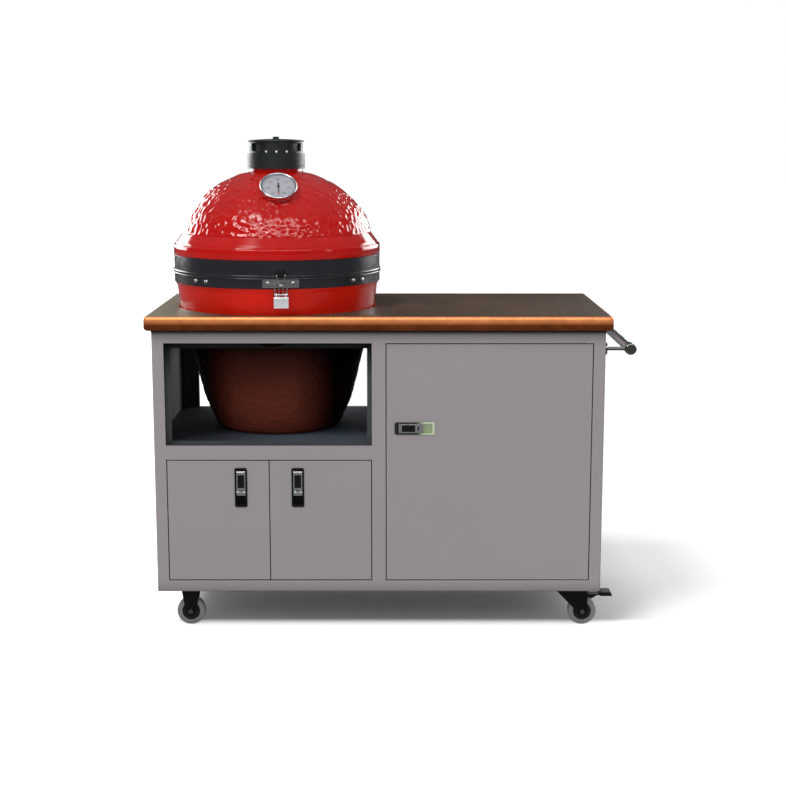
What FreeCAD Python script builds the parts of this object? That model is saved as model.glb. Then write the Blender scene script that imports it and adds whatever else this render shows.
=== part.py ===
import FreeCAD, Part
import math
import os
from FreeCAD import Vector

# Grill cart with storage: a steel cabinet on casters with a copper worktop, a ceramic grill
# standing in a round cutout of it, and three doors.
# Lengths are in millimetres and angles in degrees. X runs along the cart, the front faces -Y
# and Z is up. The pieces are drawn about the worktop's middle and then moved so that the origin
# lies on the floor under the middle of the whole outline, handle and lid hinge included.

# Worktop
TOP_WIDTH = 1219.2
TOP_THICK = 38.0
COUNTER_HEIGHT = 856.0
TOP_SHEET = 1.5
TOP_CORNER_R = 14.0
TOP_EDGE_R = 9.0
TOP_RETURN = 12.0
CUTOUT_GAP = 4.5
TOP_STRIP = 28.3

# Cabinet
OVERHANG_SIDE = 17.1
OVERHANG_FRONT = 22.0
OVERHANG_BACK = 22.0
CASTER_HEIGHT = 113.0
SHEET = 2.0
FLOOR_SHEET = 3.0
FRAME_DEPTH = 30.0
STILE = 31.5
MID_STILE = 36.0
BOTTOM_RAIL = 31.5
MID_RAIL = 38.0
TOP_RAIL = 34.0
BAY_LIP_SIDE = 13.0
BAY_LIP_TOP = 17.0
BAY_LIP_BOTTOM = 7.0
DOOR_LIP = 12.0
TOP_FLANGE = 25.0
REAR_STILE = 49.5
REAR_HEADER = 52.0
REAR_HEM = 15.0
GRILL_SHELF_THICK = 4.0
SHELF_FLANGE = 22.0
SHELF_RIB_WIDTH = 40.0
SHELF_RIB_HEIGHT = 20.0
SHELF_RIB_OFFSET = 110.0
STORAGE_SHELF_HEIGHT = 335.0
STORAGE_SHELF_SETBACK = 8.0

# Doors
DOOR_THICK = 25.0
DOOR_GAP = 2.5
DOOR_RETURN = 14.0
DOOR_STOP_GAP = 0.3
DOOR_STOP_SIZE = 14.0
PIVOT_FROM_EDGE = 10.0
PIVOT_FROM_FACE = 6.0
PIVOT_PIN_R = 3.0
PIVOT_BOSS_R = 5.5
PIVOT_DEPTH = 8.0
RUNNING_GAP = 0.05
STIFFENER_WIDTH = 50.0
STIFFENER_HEIGHT = 15.0
STIFFENER_END_GAP = 40.0
STIFFENER_SHIFT = 0.1
EDGE_TOLERANCE = 0.01

# Door latches
LATCH_LENGTH = 106.0
LATCH_WIDTH = 33.0
LATCH_PLATE = 2.5
LATCH_CORNER_R = 5.0
LATCH_CUP_LENGTH = 92.0
LATCH_CUP_WIDTH = 25.0
LATCH_CUP_DEPTH = 13.0
LATCH_CUP_WALL = 1.2
LATCH_FROM_EDGE = 74.0
LATCH_FROM_TOP = 72.5
LATCH_HEIGHT_RIGHT = 445.0
LATCH_FIT = 0.1
PADDLE_LENGTH = 62.0
PADDLE_THICK = 3.0
PADDLE_SIDE_GAP = 0.6
PADDLE_LIP = 7.0
PADDLE_PIVOT_R = 1.5
PADDLE_BARREL_R = 4.0
PADDLE_PIVOT_DEPTH = 3.0
PADDLE_PIVOT_FROM_END = 5.5
PADDLE_RECESS = 0.5
PADDLE_BEAD_R = 1.8
PADDLE_BEAD_SINK = 1.05
PADDLE_BEAD_FROM_END = 9.0

# Push handle
HANDLE_R = 12.5
HANDLE_WALL = 2.0
HANDLE_REACH = 66.5
HANDLE_BELOW_TOP = 89.0
HANDLE_END_INSET = 14.0
HANDLE_SOCKET_R = 15.5
HANDLE_SOCKET_LENGTH = 30.0
HANDLE_SOCKET_END = 6.0
HANDLE_SOCKET_ROUND = 4.8
HANDLE_ARM_R = 5.0
HANDLE_FOOT_R = 16.0
HANDLE_FOOT_THICK = 5.0

# Casters
WHEEL_R = 38.1
WHEEL_WIDTH = 27.0
WHEEL_EDGE_R = 5.0
WHEEL_DISH = 4.0
WHEEL_TREAD = 15.0
HUB_R = 13.0
AXLE_R = 4.0
AXLE_HEAD_R = 7.5
AXLE_HEAD = 5.0
FORK_SIDE_GAP = 1.5
FORK_SHEET = 3.0
FORK_FOOT_R = 14.5
RIGID_LEG_HALF = 26.0
SWIVEL_LEG_FORE = 35.0
SWIVEL_LEG_AFT = 55.0
CASTER_PLATE_LENGTH = 92.0
CASTER_PLATE_WIDTH = 70.0
CASTER_PLATE_THICK = 3.0
CASTER_BOLT_R = 4.0
CASTER_HEX_R = 7.5
HEX_SIDES = 6
CASTER_NUT = 6.0
BOLT_GAP = 0.25
CASTER_BOLT_SPACING_X = 72.0
CASTER_BOLT_SPACING_Y = 50.0
CASTER_FROM_FRONT = 80.0
RIGID_FROM_END = 79.0
SWIVEL_FROM_END = 61.5
SWIVEL_TRAIL = 22.0
SWIVEL_RACE_R = 27.0
SWIVEL_RACE = 7.0
SWIVEL_GAP = 0.3
KINGPIN_R = 6.0
KINGPIN_HEAD_R = 9.6
PEDAL_PIVOT_X = 9.0
PEDAL_PIVOT_DROP = 29.5
PEDAL_PIN_R = 3.0
PEDAL_EAR_R = 6.6
PEDAL_BARREL_R = 5.4
PEDAL_THICK = 3.0
PEDAL_REACH = 72.0
PEDAL_TIP_WIDTH = 40.0
PEDAL_TIP_LENGTH = 34.0
PEDAL_TIP_RISE = 9.0
PEDAL_TIP_TAPER = 4.0
PEDAL_TIP_SINK = 2.0
PEDAL_RIB_START = 9.0
PEDAL_RIB_DEEPEST = 16.0
PEDAL_RIB_END = 34.0
PEDAL_RIB_DROP = 8.0
PEDAL_RIB_DEPTH = 11.0
PEDAL_RIB_THICK = 4.0

# Grill: radii from its own axis, heights from its underside
GRILL_X = -282.0
GRILL_Y = 0.0
GRILL_TURN = 6.0
FOOT_RING_R = 160.0
FOOT_RING_WIDTH = 26.0
FOOT_RING_HEIGHT = 6.0
BOWL_POINTS = [(171.0, 9.0), (205.0, 89.0), (235.0, 211.0), (263.0, 305.0), (275.0, 396.0)]
BOWL_WALL = 25.0
BOWL_FLOOR = 30.0
BOWL_FLOOR_BEVEL = 12.0
BOWL_RELIEF = 3.0
RIM_R = 279.0
RIM_HEIGHT = 434.5
RIM_OVER_COUNTER = 97.5
RIM_SEAT_HEIGHT = 402.0
BAND_THICK = 3.0
LOWER_BAND_HEIGHT = 28.5
UPPER_BAND_HEIGHT = 42.5
GASKET_THICK = 1.3
GASKET_WIDTH = 22.0
LID_GAP = 0.3
DOME_LIP_HEIGHT = 71.0
DOME_LIP_RIDGE = 3.0
DOME_LIP_PROUD = 0.6
DOME_LIP_BEVEL = 2.0
DOME_POINTS = [(274.3, 78.0), (258.5, 99.0), (240.0, 149.0), (206.0, 190.0), (163.0, 225.0),
               (110.0, 251.0), (72.0, 263.0)]
DOME_CENTRE_HEIGHT = 19.0
DOME_WALL = 22.0
NECK_HEIGHT = 9.0
THROAT_R = 58.0
THROAT_EDGE = 4.0

# Grill furniture
FIREBOX_GAP = 7.0
FIREBOX_WALL = 20.0
FIREBOX_HEIGHT = 372.0
FIREBOX_LEDGE_HEIGHT = 110.0
FIREBOX_LEDGE = 22.0
FIREBOX_DRAFT_INSET = 4.0
CHARCOAL_GRATE_THICK = 8.0
CHARCOAL_SLOT = 9.0
CHARCOAL_PITCH = 22.0
CHARCOAL_EDGE = 14.0
GRATE_GAP = 2.0
COOKING_ROD_R = 2.5
COOKING_RING_R = 3.5
COOKING_PITCH = 19.0
COOKING_EDGE = 6.3
COOKING_SINK = 1.0
DRAFT_WIDTH = 116.0
DRAFT_HEIGHT = 46.0
DRAFT_FROM_FLOOR = 14.0
DRAFT_FRAME = 14.0
DRAFT_FRAME_THICK = 9.0
DRAFT_DOOR_THICK = 2.0
DRAFT_DOOR_GAP = 0.4
DRAFT_KNOB_R = 6.0
DRAFT_KNOB_OUT = 10.0
DRAFT_KNOB_FROM_END = 24.0

# Lid hinge
HINGE_OUT = 18.0
HINGE_WIDTH = 84.0
HINGE_EAR = 8.0
HINGE_PIN_R = 5.0
HINGE_BARREL_R = 11.0
HINGE_SIDE_GAP = 0.4
HINGE_PLATE_THICK = 5.0
HINGE_PLATE_DEPTH = 6.0
HINGE_PLATE_LIFT = 3.0
HINGE_PIN_PROUD = 3.0
HINGE_ARM_DROP = 8.0

# Lid latch
KEEPER_THICK = 3.0
KEEPER_WIDTH = 24.0
KEEPER_HEIGHT = 19.0
KEEPER_NOTCH = 12.0
KEEPER_CORNER = 4.0
KEEPER_SINK = 0.2
LID_LATCH_WIDTH = 94.0
LID_LATCH_HEIGHT = 21.0
LID_LATCH_THICK = 3.0
LID_LATCH_BOLT_R = 6.0
LID_LATCH_BOLT_HEIGHT = 3.5
LID_LATCH_BOLT_FROM_END = 14.0
LID_LATCH_ARM_OUT = 3.0
LID_LATCH_ARM_INSET = 2.0
LID_LATCH_ARM_R = 4.5
LEVER_WIDTH = 38.0
LEVER_LENGTH = 34.0
LEVER_THICK = 3.0
LEVER_BAR_R = 3.2
LEVER_DROP = 28.0
LEVER_PIN_R = 2.0
LEVER_PIN_OUT = 8.0
LEVER_PIN_INSET = 1.0
LEVER_EAR_THICK = 3.0
LEVER_EAR_R = 4.2
LEVER_EAR_GAP = 0.4
LEVER_EAR_BACK = 2.0
LEVER_TOP_DROP = 5.5
LEVER_FACE_GAP = 1.0
LEVER_LIP_OUT = 4.0
LEVER_LIP_THICK = 2.5
BAIL_WIRE_R = 1.5
BAIL_SPREAD = 5.3
BAIL_TIP_SPREAD = 11.0
BAIL_EYE_R = 4.4
BAIL_HEIGHT = 50.0
BAIL_FORK_HEIGHT = 27.0
BAIL_TIP_R = 2.25
BAIL_EYE_SINK = 0.8
BAIL_TIE_DROP = 3.0
BAND_BOLT_R = 5.5
BAND_BOLT_HEIGHT = 4.0
BAND_BOLT_ANGLES = [-51.0, -43.0, 43.0, 51.0]
BOLT_SINK = 0.4
BOLT_ROUND = 0.7

# Thermometer
GAUGE_ELEVATION = 49.0
GAUGE_R = 49.0
GAUGE_RIM = 6.0
GAUGE_STANDOFF = 3.0
GAUGE_DEPTH = 17.0
GAUGE_FLOOR = 9.0
GAUGE_EDGE_R = 2.5
DIAL_THICK = 1.0
GLASS_THICK = 1.5
GLASS_RECESS = 0.6
NEEDLE_LENGTH = 33.0
NEEDLE_TAIL = 14.0
NEEDLE_THICK = 0.8
NEEDLE_TAIL_HALF = 2.2
NEEDLE_MID_HALF = 1.4
NEEDLE_TIP_HALF = 0.5
NEEDLE_HUB_R = 4.0
NEEDLE_HUB_RISE = 0.8
NEEDLE_SPINDLE_R = 1.2
NEEDLE_LIFT = 1.2
NEEDLE_SINK = 0.2
PROBE_R = 4.0
PROBE_LENGTH = 88.0
COLLAR_R = 14.0

# Vent tower
VENT_R = 78.5
VENT_COLLAR_HEIGHT = 8.0
VENT_CARRIER_HEIGHT = 32.5
VENT_SLEEVE_R = 66.0
VENT_SLEEVE_WALL = 2.5
VENT_DRUM_R = 73.0
VENT_DRUM_HEIGHT = 31.0
VENT_GAP = 0.3
VENT_WINDOWS = 4
VENT_WINDOW_ANGLE = 41.0
VENT_WINDOW_HEIGHT = 21.0
VENT_WINDOW_RISE = 17.0
VENT_LID_R = 77.0
VENT_LID_EDGE = 4.0
VENT_LID_RISE = 4.0
VENT_KNOB_R = 9.0
VENT_KNOB_HEIGHT = 10.0
VENT_HINGE_R = 5.0
VENT_HINGE_PIN_R = 2.0
VENT_HINGE_WIDTH = 44.0
VENT_HINGE_EAR = 8.0
VENT_HINGE_SIDE_GAP = 0.4
VENT_HINGE_ROOT = 4.0
VENT_HINGE_OUT = 1.0
VENT_HINGE_RISE = 1.0

# Places that follow from the sizes above
GRILL_Z = COUNTER_HEIGHT + RIM_OVER_COUNTER - RIM_HEIGHT


def bowl_outer_r(z):
    # The bowl's outer radius at a height over its underside, taken between its outline's points.
    for (r0, z0), (r1, z1) in zip(BOWL_POINTS, BOWL_POINTS[1:]):
        if z <= z1:
            return r0 + (r1 - r0) * (z - z0) / (z1 - z0)
    return BOWL_POINTS[-1][0]


CUTOUT_R = bowl_outer_r(COUNTER_HEIGHT - GRILL_Z) + CUTOUT_GAP
TOP_DEPTH = 2 * (CUTOUT_R + TOP_STRIP)
FRONT = -TOP_DEPTH / 2 + OVERHANG_FRONT
BACK = TOP_DEPTH / 2 - OVERHANG_BACK
HALF_WIDTH = TOP_WIDTH / 2 - OVERHANG_SIDE
CAB_BOTTOM = CASTER_HEIGHT
CAB_TOP = COUNTER_HEIGHT - TOP_THICK
INNER_HALF = HALF_WIDTH - SHEET
FRAME_BACK = FRONT + FRAME_DEPTH
BAY_Z0 = GRILL_Z - BAY_LIP_BOTTOM
LOWER_Z0 = CAB_BOTTOM + BOTTOM_RAIL
LOWER_Z1 = BAY_Z0 - MID_RAIL
BAY_Z1 = CAB_TOP - TOP_RAIL
LEFT_X0 = -HALF_WIDTH + STILE
LEFT_X1 = -MID_STILE / 2
RIGHT_X0 = MID_STILE / 2
RIGHT_X1 = HALF_WIDTH - STILE
LEFT_MID = (LEFT_X0 + LEFT_X1) / 2
FLOOR_TOP = CAB_BOTTOM + FLOOR_SHEET
LID_BASE = RIM_HEIGHT + GASKET_THICK + LID_GAP
DOME_BASE = LID_BASE + GASKET_THICK
DOME_TOP = DOME_BASE + DOME_POINTS[-1][1] + NECK_HEIGHT
BAND_R = RIM_R + BAND_THICK
CASE_FLOOR = GAUGE_STANDOFF + GAUGE_FLOOR
CASE_FRONT = GAUGE_STANDOFF + GAUGE_DEPTH
GLASS_BACK = CASE_FRONT - GLASS_RECESS - GLASS_THICK
DIAL_FACE = CASE_FLOOR + DIAL_THICK
VENT_CARRIER_Z = DOME_TOP + VENT_COLLAR_HEIGHT + VENT_GAP
VENT_DRUM_Z = VENT_CARRIER_Z + VENT_CARRIER_HEIGHT + VENT_GAP
VENT_LID_Z = VENT_DRUM_Z + VENT_DRUM_HEIGHT
HANDLE_X = HALF_WIDTH + HANDLE_REACH
HANDLE_Z = COUNTER_HEIGHT - HANDLE_BELOW_TOP
CASTER_Y = BACK - CASTER_FROM_FRONT
RIGID_X = -HALF_WIDTH + RIGID_FROM_END
SWIVEL_X = HALF_WIDTH - SWIVEL_FROM_END
FORK_Y = WHEEL_WIDTH / 2 + FORK_SIDE_GAP


def box(x0, x1, y0, y1, z0, z1):
    return Part.makeBox(x1 - x0, y1 - y0, z1 - z0, Vector(x0, y0, z0))


def rod(radius, start, end):
    start = Vector(*start)
    axis = Vector(*end) - start
    return Part.makeCylinder(radius, axis.Length, start, axis)


def tube(outer, inner, start, end):
    return rod(outer, start, end).cut(rod(inner, start, end))


def fused(shapes):
    first = shapes[0]
    if len(shapes) == 1:
        return first
    return first.multiFuse(shapes[1:]).removeSplitter()


def line(p, q):
    return Part.makeLine(Vector(p[0], 0, p[1]), Vector(q[0], 0, q[1]))


def curve(points):
    spline = Part.BSplineCurve()
    spline.interpolate([Vector(r, 0, z) for r, z in points])
    return spline.toShape()


def turned(edges):
    # A closed outline in the XZ plane, turned once about Z.
    face = Part.Face(Part.Wire(edges))
    return face.revolve(Vector(0, 0, 0), Vector(0, 0, 1), 360)


def outline(points):
    closed = points + [points[0]]
    return [line(p, q) for p, q in zip(closed, closed[1:])]


def plate_xz(points, y0, y1):
    # A flat plate with its outline in the XZ plane, from y0 to y1.
    closed = points + [points[0]]
    wire = Part.makePolygon([Vector(x, y0, z) for x, z in closed])
    return Part.Face(wire).extrude(Vector(0, y1 - y0, 0))


def rounded_box(x0, x1, y0, y1, z0, z1, radius):
    # A box with its four edges along Y rounded.
    solid = box(x0, x1, y0, y1, z0, z1)
    edges = [e for e in solid.Edges if abs(e.Vertexes[0].Y - e.Vertexes[1].Y) > 0.5 * (y1 - y0)]
    return solid.makeFillet(radius, edges)


def ring(x0, x1, z0, z1, left, right, bottom, top, y0, y1):
    # A flat frame in the XZ plane with its own width on each side.
    outer = box(x0, x1, y0, y1, z0, z1)
    return outer.cut(box(x0 + left, x1 - right, y0 - 1, y1 + 1, z0 + bottom, z1 - top))


def grill(shape):
    # Puts a piece made about the grill's own axis into its place in the cutout.
    moved = shape.copy()
    moved.rotate(Vector(0, 0, 0), Vector(0, 0, 1), GRILL_TURN)
    moved.translate(Vector(GRILL_X, GRILL_Y, GRILL_Z))
    return moved


def bowl_relief():
    # The room that the folded edges next to the bowl leave for it.
    grown = [(r + BOWL_RELIEF, z) for r, z in BOWL_POINTS]
    low, high = (0, grown[0][1]), (0, grown[-1][1])
    return grill(turned([line(low, grown[0]), curve(grown), line(grown[-1], high), line(high, low)]))


# Worktop

def worktop_block(inset, z0, z1):
    half_x = TOP_WIDTH / 2 - inset
    half_y = TOP_DEPTH / 2 - inset
    solid = box(-half_x, half_x, -half_y, half_y, z0, z1)
    upright = [e for e in solid.Edges if abs(e.Vertexes[0].Z - e.Vertexes[1].Z) > 0.5 * (z1 - z0)]
    return solid.makeFillet(TOP_CORNER_R - inset, upright)


def cutout(radius, z0, z1):
    return rod(radius, (GRILL_X, GRILL_Y, z0), (GRILL_X, GRILL_Y, z1))


def worktop_core():
    core = worktop_block(TOP_SHEET, CAB_TOP + TOP_SHEET, COUNTER_HEIGHT - TOP_SHEET)
    top_edges = edges_at(core, COUNTER_HEIGHT - TOP_SHEET)
    bottom_edges = edges_at(core, CAB_TOP + TOP_SHEET)
    core = core.makeFillet(TOP_EDGE_R - TOP_SHEET, top_edges + bottom_edges)
    half_x = TOP_WIDTH / 2 - TOP_RETURN
    foot = box(-half_x, half_x, -TOP_DEPTH / 2 + TOP_RETURN, TOP_DEPTH / 2 - TOP_RETURN,
               CAB_TOP, CAB_TOP + 2 * TOP_SHEET)
    core = fused([core, foot])
    return core.cut(cutout(CUTOUT_R + TOP_SHEET, CAB_TOP - 1, COUNTER_HEIGHT + 1))


def edges_at(solid, z):
    found = []
    for edge in solid.Edges:
        if all(abs(v.Z - z) < EDGE_TOLERANCE for v in edge.Vertexes):
            found.append(edge)
    return found


def worktop_skin(core):
    skin = worktop_block(0, CAB_TOP, COUNTER_HEIGHT)
    skin = skin.makeFillet(TOP_EDGE_R, edges_at(skin, COUNTER_HEIGHT) + edges_at(skin, CAB_TOP))
    skin = skin.cut(cutout(CUTOUT_R, CAB_TOP - 1, COUNTER_HEIGHT + 1))
    return skin.cut(core)


# Cabinet

def openings():
    return {
        "bay": (LEFT_X0, LEFT_X1, BAY_Z0, BAY_Z1),
        "lower": (LEFT_X0, LEFT_X1, LOWER_Z0, LOWER_Z1),
        "right": (RIGHT_X0, RIGHT_X1, LOWER_Z0, BAY_Z1),
    }


def opening_cut(opening, grow, y0, y1):
    x0, x1, z0, z1 = opening
    return box(x0 - grow, x1 + grow, y0, y1, z0 - grow, z1 + grow)


def face_frame():
    # One folded front: a flat face with its edges turned back round it and round each opening.
    holes = openings()
    frame = box(-HALF_WIDTH, HALF_WIDTH, FRONT, FRAME_BACK, CAB_BOTTOM, CAB_TOP)
    hollow = box(-HALF_WIDTH + SHEET, HALF_WIDTH - SHEET, FRONT + SHEET, FRAME_BACK + 1,
                 CAB_BOTTOM + SHEET, CAB_TOP - SHEET)
    for opening in holes.values():
        frame = frame.cut(opening_cut(opening, 0, FRONT - 1, FRAME_BACK + 1))
        hollow = hollow.cut(opening_cut(opening, SHEET, FRONT, FRAME_BACK + 2))
    frame = frame.cut(hollow)
    y0 = FRAME_BACK - SHEET
    x0, x1, z0, z1 = holes["bay"]
    pieces = [frame, ring(x0, x1, z0, z1, BAY_LIP_SIDE, BAY_LIP_SIDE, BAY_LIP_BOTTOM, BAY_LIP_TOP,
                          y0, FRAME_BACK)]
    for name in ("lower", "right"):
        x0, x1, z0, z1 = holes[name]
        pieces.append(ring(x0, x1, z0, z1, DOOR_LIP, DOOR_LIP, DOOR_LIP, DOOR_LIP, y0, FRAME_BACK))
    for x, z in stop_places():
        half = DOOR_STOP_SIZE / 2
        pieces.append(box(x - half, x + half, FRONT + DOOR_THICK + DOOR_STOP_GAP, y0, z - half, z + half))
    for x, z, up in pivot_places():
        end = z + up * (SHEET + PIVOT_DEPTH)
        pieces.append(rod(PIVOT_BOSS_R, (x, pivot_y(), z), (x, pivot_y(), end)))
    frame = fused(pieces)
    for x, z, up in pivot_places():
        end = (x, pivot_y(), z + up * (SHEET + PIVOT_DEPTH))
        frame = frame.cut(rod(PIVOT_PIN_R, (x, pivot_y(), z - up), end))
    return frame.cut(bowl_relief())


def pivot_y():
    return FRONT + PIVOT_FROM_FACE


def door_widths():
    # Each door's left and right edge.
    return {
        "door_lower_left": (LEFT_X0 + DOOR_GAP, LEFT_MID - DOOR_GAP / 2),
        "door_lower_right": (LEFT_MID + DOOR_GAP / 2, LEFT_X1 - DOOR_GAP),
        "door_right": (RIGHT_X0 + DOOR_GAP, RIGHT_X1 - DOOR_GAP),
    }


def door_heights(name):
    top = BAY_Z1 if name == "door_right" else LOWER_Z1
    return LOWER_Z0 + DOOR_GAP, top - DOOR_GAP


def pivot_side(name):
    # +1 for a door that turns at its right edge, -1 for one that turns at its left edge.
    return -1 if name == "door_lower_left" else 1


def pivot_x(name):
    x0, x1 = door_widths()[name]
    return x1 - PIVOT_FROM_EDGE if pivot_side(name) > 0 else x0 + PIVOT_FROM_EDGE


def pivot_places():
    # Every pivot as x, the height of the opening's edge there, and -1 for a lower or +1 for an
    # upper one.
    places = []
    for name in door_widths():
        z0, z1 = door_heights(name)
        places.append((pivot_x(name), z0 - DOOR_GAP, -1))
        places.append((pivot_x(name), z1 + DOOR_GAP, 1))
    return places


def stop_places():
    # Stop tabs stand on the lips at the free edge of each door.
    places = []
    for name, (x0, x1) in door_widths().items():
        z0, z1 = door_heights(name)
        free_x = x0 + DOOR_STOP_SIZE if pivot_side(name) > 0 else x1 - DOOR_STOP_SIZE
        places.append((free_x, z0 - DOOR_GAP + DOOR_STOP_SIZE / 2))
        places.append((free_x, z1 + DOOR_GAP - DOOR_STOP_SIZE / 2))
    return places


def side_panel(side):
    outer = side * HALF_WIDTH
    inner = side * INNER_HALF
    x0, x1 = min(outer, inner), max(outer, inner)
    panel = box(x0, x1, FRAME_BACK, BACK, CAB_BOTTOM, CAB_TOP)
    edge = side * (INNER_HALF - TOP_FLANGE)
    x0, x1 = min(edge, inner), max(edge, inner)
    flange = box(x0, x1, FRAME_BACK, BACK - SHEET - TOP_FLANGE, CAB_TOP - SHEET, CAB_TOP)
    return fused([panel, flange])


def rear_opening():
    return (-INNER_HALF + REAR_STILE, -SHEET / 2 - REAR_HEM, GRILL_Z, CAB_TOP - REAR_HEADER)


def rear_panel():
    y0 = BACK - SHEET
    panel = box(-INNER_HALF, INNER_HALF, y0, BACK, CAB_BOTTOM, CAB_TOP)
    flange = box(-INNER_HALF, INNER_HALF, y0 - TOP_FLANGE, y0, CAB_TOP - SHEET, CAB_TOP)
    x0, x1, z0, z1 = rear_opening()
    around = (x0 - SHEET, x1 + SHEET, z0 - SHEET, z1 + SHEET)
    hem = ring(*around, SHEET, SHEET, SHEET, SHEET, y0 - REAR_HEM, y0)
    panel = fused([panel, flange, hem])
    panel = panel.cut(box(x0, x1, y0 - REAR_HEM - 1, BACK + 1, z0, z1))
    return panel.cut(bowl_relief())


def bottom_panel():
    panel = box(-INNER_HALF, INNER_HALF, FRAME_BACK, BACK - SHEET, CAB_BOTTOM, FLOOR_TOP)
    for x in (RIGID_X, SWIVEL_X):
        for y in (-CASTER_Y, CASTER_Y):
            panel = panel.cut(bolt_holes(x, y, CAB_BOTTOM - 1, FLOOR_TOP + 1))
    return panel


def bolt_places(x, y):
    places = []
    for dx in (-0.5, 0.5):
        for dy in (-0.5, 0.5):
            places.append((x + dx * CASTER_BOLT_SPACING_X, y + dy * CASTER_BOLT_SPACING_Y))
    return places


def bolt_holes(x, y, z0, z1):
    radius = CASTER_BOLT_R + BOLT_GAP
    return Part.makeCompound([rod(radius, (px, py, z0), (px, py, z1)) for px, py in bolt_places(x, y)])


def caster_bolts(x, y):
    # Hex bolts through the cabinet's floor and the caster's plate, each with its nut.
    plate = CAB_BOTTOM - CASTER_PLATE_THICK
    bolts = []
    for px, py in bolt_places(x, y):
        shank = rod(CASTER_BOLT_R, (px, py, plate - CASTER_NUT), (px, py, FLOOR_TOP + CASTER_NUT))
        head = hex_head(CASTER_HEX_R, (px, py, FLOOR_TOP), (px, py, FLOOR_TOP + CASTER_NUT))
        nut = hex_head(CASTER_HEX_R, (px, py, plate), (px, py, plate - CASTER_NUT))
        bolts.append(fused([shank, head, nut]))
    return bolts


def centre_divider():
    half = SHEET / 2
    return box(-half, half, FRONT + SHEET, BACK - SHEET, FLOOR_TOP, CAB_TOP - SHEET)


def grill_shelf():
    # A heavy plate on turned-down edges, with two channels under the grill.
    x0, x1 = -INNER_HALF, -SHEET / 2
    y0, y1 = FRAME_BACK, BACK - SHEET - REAR_HEM
    z1 = GRILL_Z
    z0 = z1 - GRILL_SHELF_THICK
    pieces = [box(x0, x1, y0, y1, z0, z1)]
    pieces.append(box(x0, x0 + SHEET, y0, y1, z0 - SHELF_FLANGE, z0))
    pieces.append(box(x1 - SHEET, x1, y0, y1, z0 - SHELF_FLANGE, z0))
    for side in (-1, 1):
        y = GRILL_Y + side * SHELF_RIB_OFFSET
        half = SHELF_RIB_WIDTH / 2
        channel = box(x0 + SHEET, x1 - SHEET, y - half, y + half, z0 - SHELF_RIB_HEIGHT, z0)
        pieces.append(channel.cut(box(x0 + SHEET, x1 - SHEET, y - half + SHEET, y + half - SHEET,
                                      z0 - SHELF_RIB_HEIGHT - 1, z0)))
    return fused(pieces)


def storage_shelf():
    x0, x1 = SHEET / 2, INNER_HALF
    y0, y1 = FRAME_BACK + STORAGE_SHELF_SETBACK, BACK - SHEET
    z1 = CAB_BOTTOM + STORAGE_SHELF_HEIGHT
    z0 = z1 - SHELF_FLANGE
    shelf = box(x0, x1, y0, y1, z0, z1)
    return shelf.cut(box(x0 + SHEET, x1 - SHEET, y0 + SHEET, y1 - SHEET, z0 - 1, z1 - SHEET))


# Doors and their latches

def latch_place(name):
    # The latch's centre on the door's face and its turn about Y.
    x0, x1 = door_widths()[name]
    x = x0 + LATCH_FROM_EDGE if pivot_side(name) > 0 else x1 - LATCH_FROM_EDGE
    if name == "door_right":
        return x, CAB_BOTTOM + LATCH_HEIGHT_RIGHT, -90
    return x, door_heights(name)[1] - LATCH_FROM_TOP, 0


def set_latch(shape, name):
    x, z, turn = latch_place(name)
    moved = shape.copy()
    moved.rotate(Vector(0, 0, 0), Vector(0, 1, 0), turn)
    moved.translate(Vector(x, FRONT, z))
    return moved


def door(name):
    # A pan folded from sheet: a face, four edges turned back and a return round the back.
    x0, x1 = door_widths()[name]
    z0, z1 = door_heights(name)
    back = FRONT + DOOR_THICK
    pan = box(x0, x1, FRONT, back, z0, z1)
    pan = pan.cut(box(x0 + SHEET, x1 - SHEET, FRONT + SHEET, back + 1, z0 + SHEET, z1 - SHEET))
    fold = DOOR_RETURN
    pieces = [pan, ring(x0, x1, z0, z1, fold, fold, fold, fold, back - SHEET, back)]
    mid = (x0 + x1) / 2 + pivot_side(name) * (x1 - x0) * STIFFENER_SHIFT
    half = STIFFENER_WIDTH / 2
    y1 = FRONT + SHEET + STIFFENER_HEIGHT
    za, zb = z0 + STIFFENER_END_GAP, z1 - STIFFENER_END_GAP
    hat = box(mid - half, mid + half, FRONT + SHEET, y1, za, zb)
    inside = box(mid - half + SHEET, mid + half - SHEET, FRONT + SHEET, y1 - SHEET, za - 1, zb + 1)
    pieces.append(hat.cut(inside))
    for z, up in ((z0, 1), (z1, -1)):
        end = z + up * PIVOT_DEPTH
        start = (pivot_x(name), pivot_y(), z)
        pieces.append(rod(PIVOT_BOSS_R, start, (pivot_x(name), pivot_y(), end)))
    pan = fused(pieces)
    for z, up in ((z0, 1), (z1, -1)):
        start = (pivot_x(name), pivot_y(), z - up)
        end = (pivot_x(name), pivot_y(), z + up * (PIVOT_DEPTH + 1))
        pan = pan.cut(rod(PIVOT_PIN_R + RUNNING_GAP, start, end))
    half_w = LATCH_CUP_WIDTH / 2 + LATCH_CUP_WALL + LATCH_FIT
    half_l = LATCH_CUP_LENGTH / 2 + LATCH_CUP_WALL + LATCH_FIT
    slot = box(-half_w, half_w, -1, SHEET + 1, -half_l, half_l)
    return pan.cut(set_latch(slot, name))


def door_pivot_pins():
    pins = []
    for x, z, up in pivot_places():
        start = (x, pivot_y(), z + up * (SHEET + PIVOT_DEPTH))
        end = (x, pivot_y(), z - up * (DOOR_GAP + PIVOT_DEPTH))
        pins.append(rod(PIVOT_PIN_R, start, end))
    return Part.makeCompound(pins)


def paddle_pivot():
    # The depth and height of the paddle's pin, in the latch's own frame.
    return PADDLE_PIVOT_DEPTH, LATCH_CUP_LENGTH / 2 - PADDLE_PIVOT_FROM_END


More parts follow.
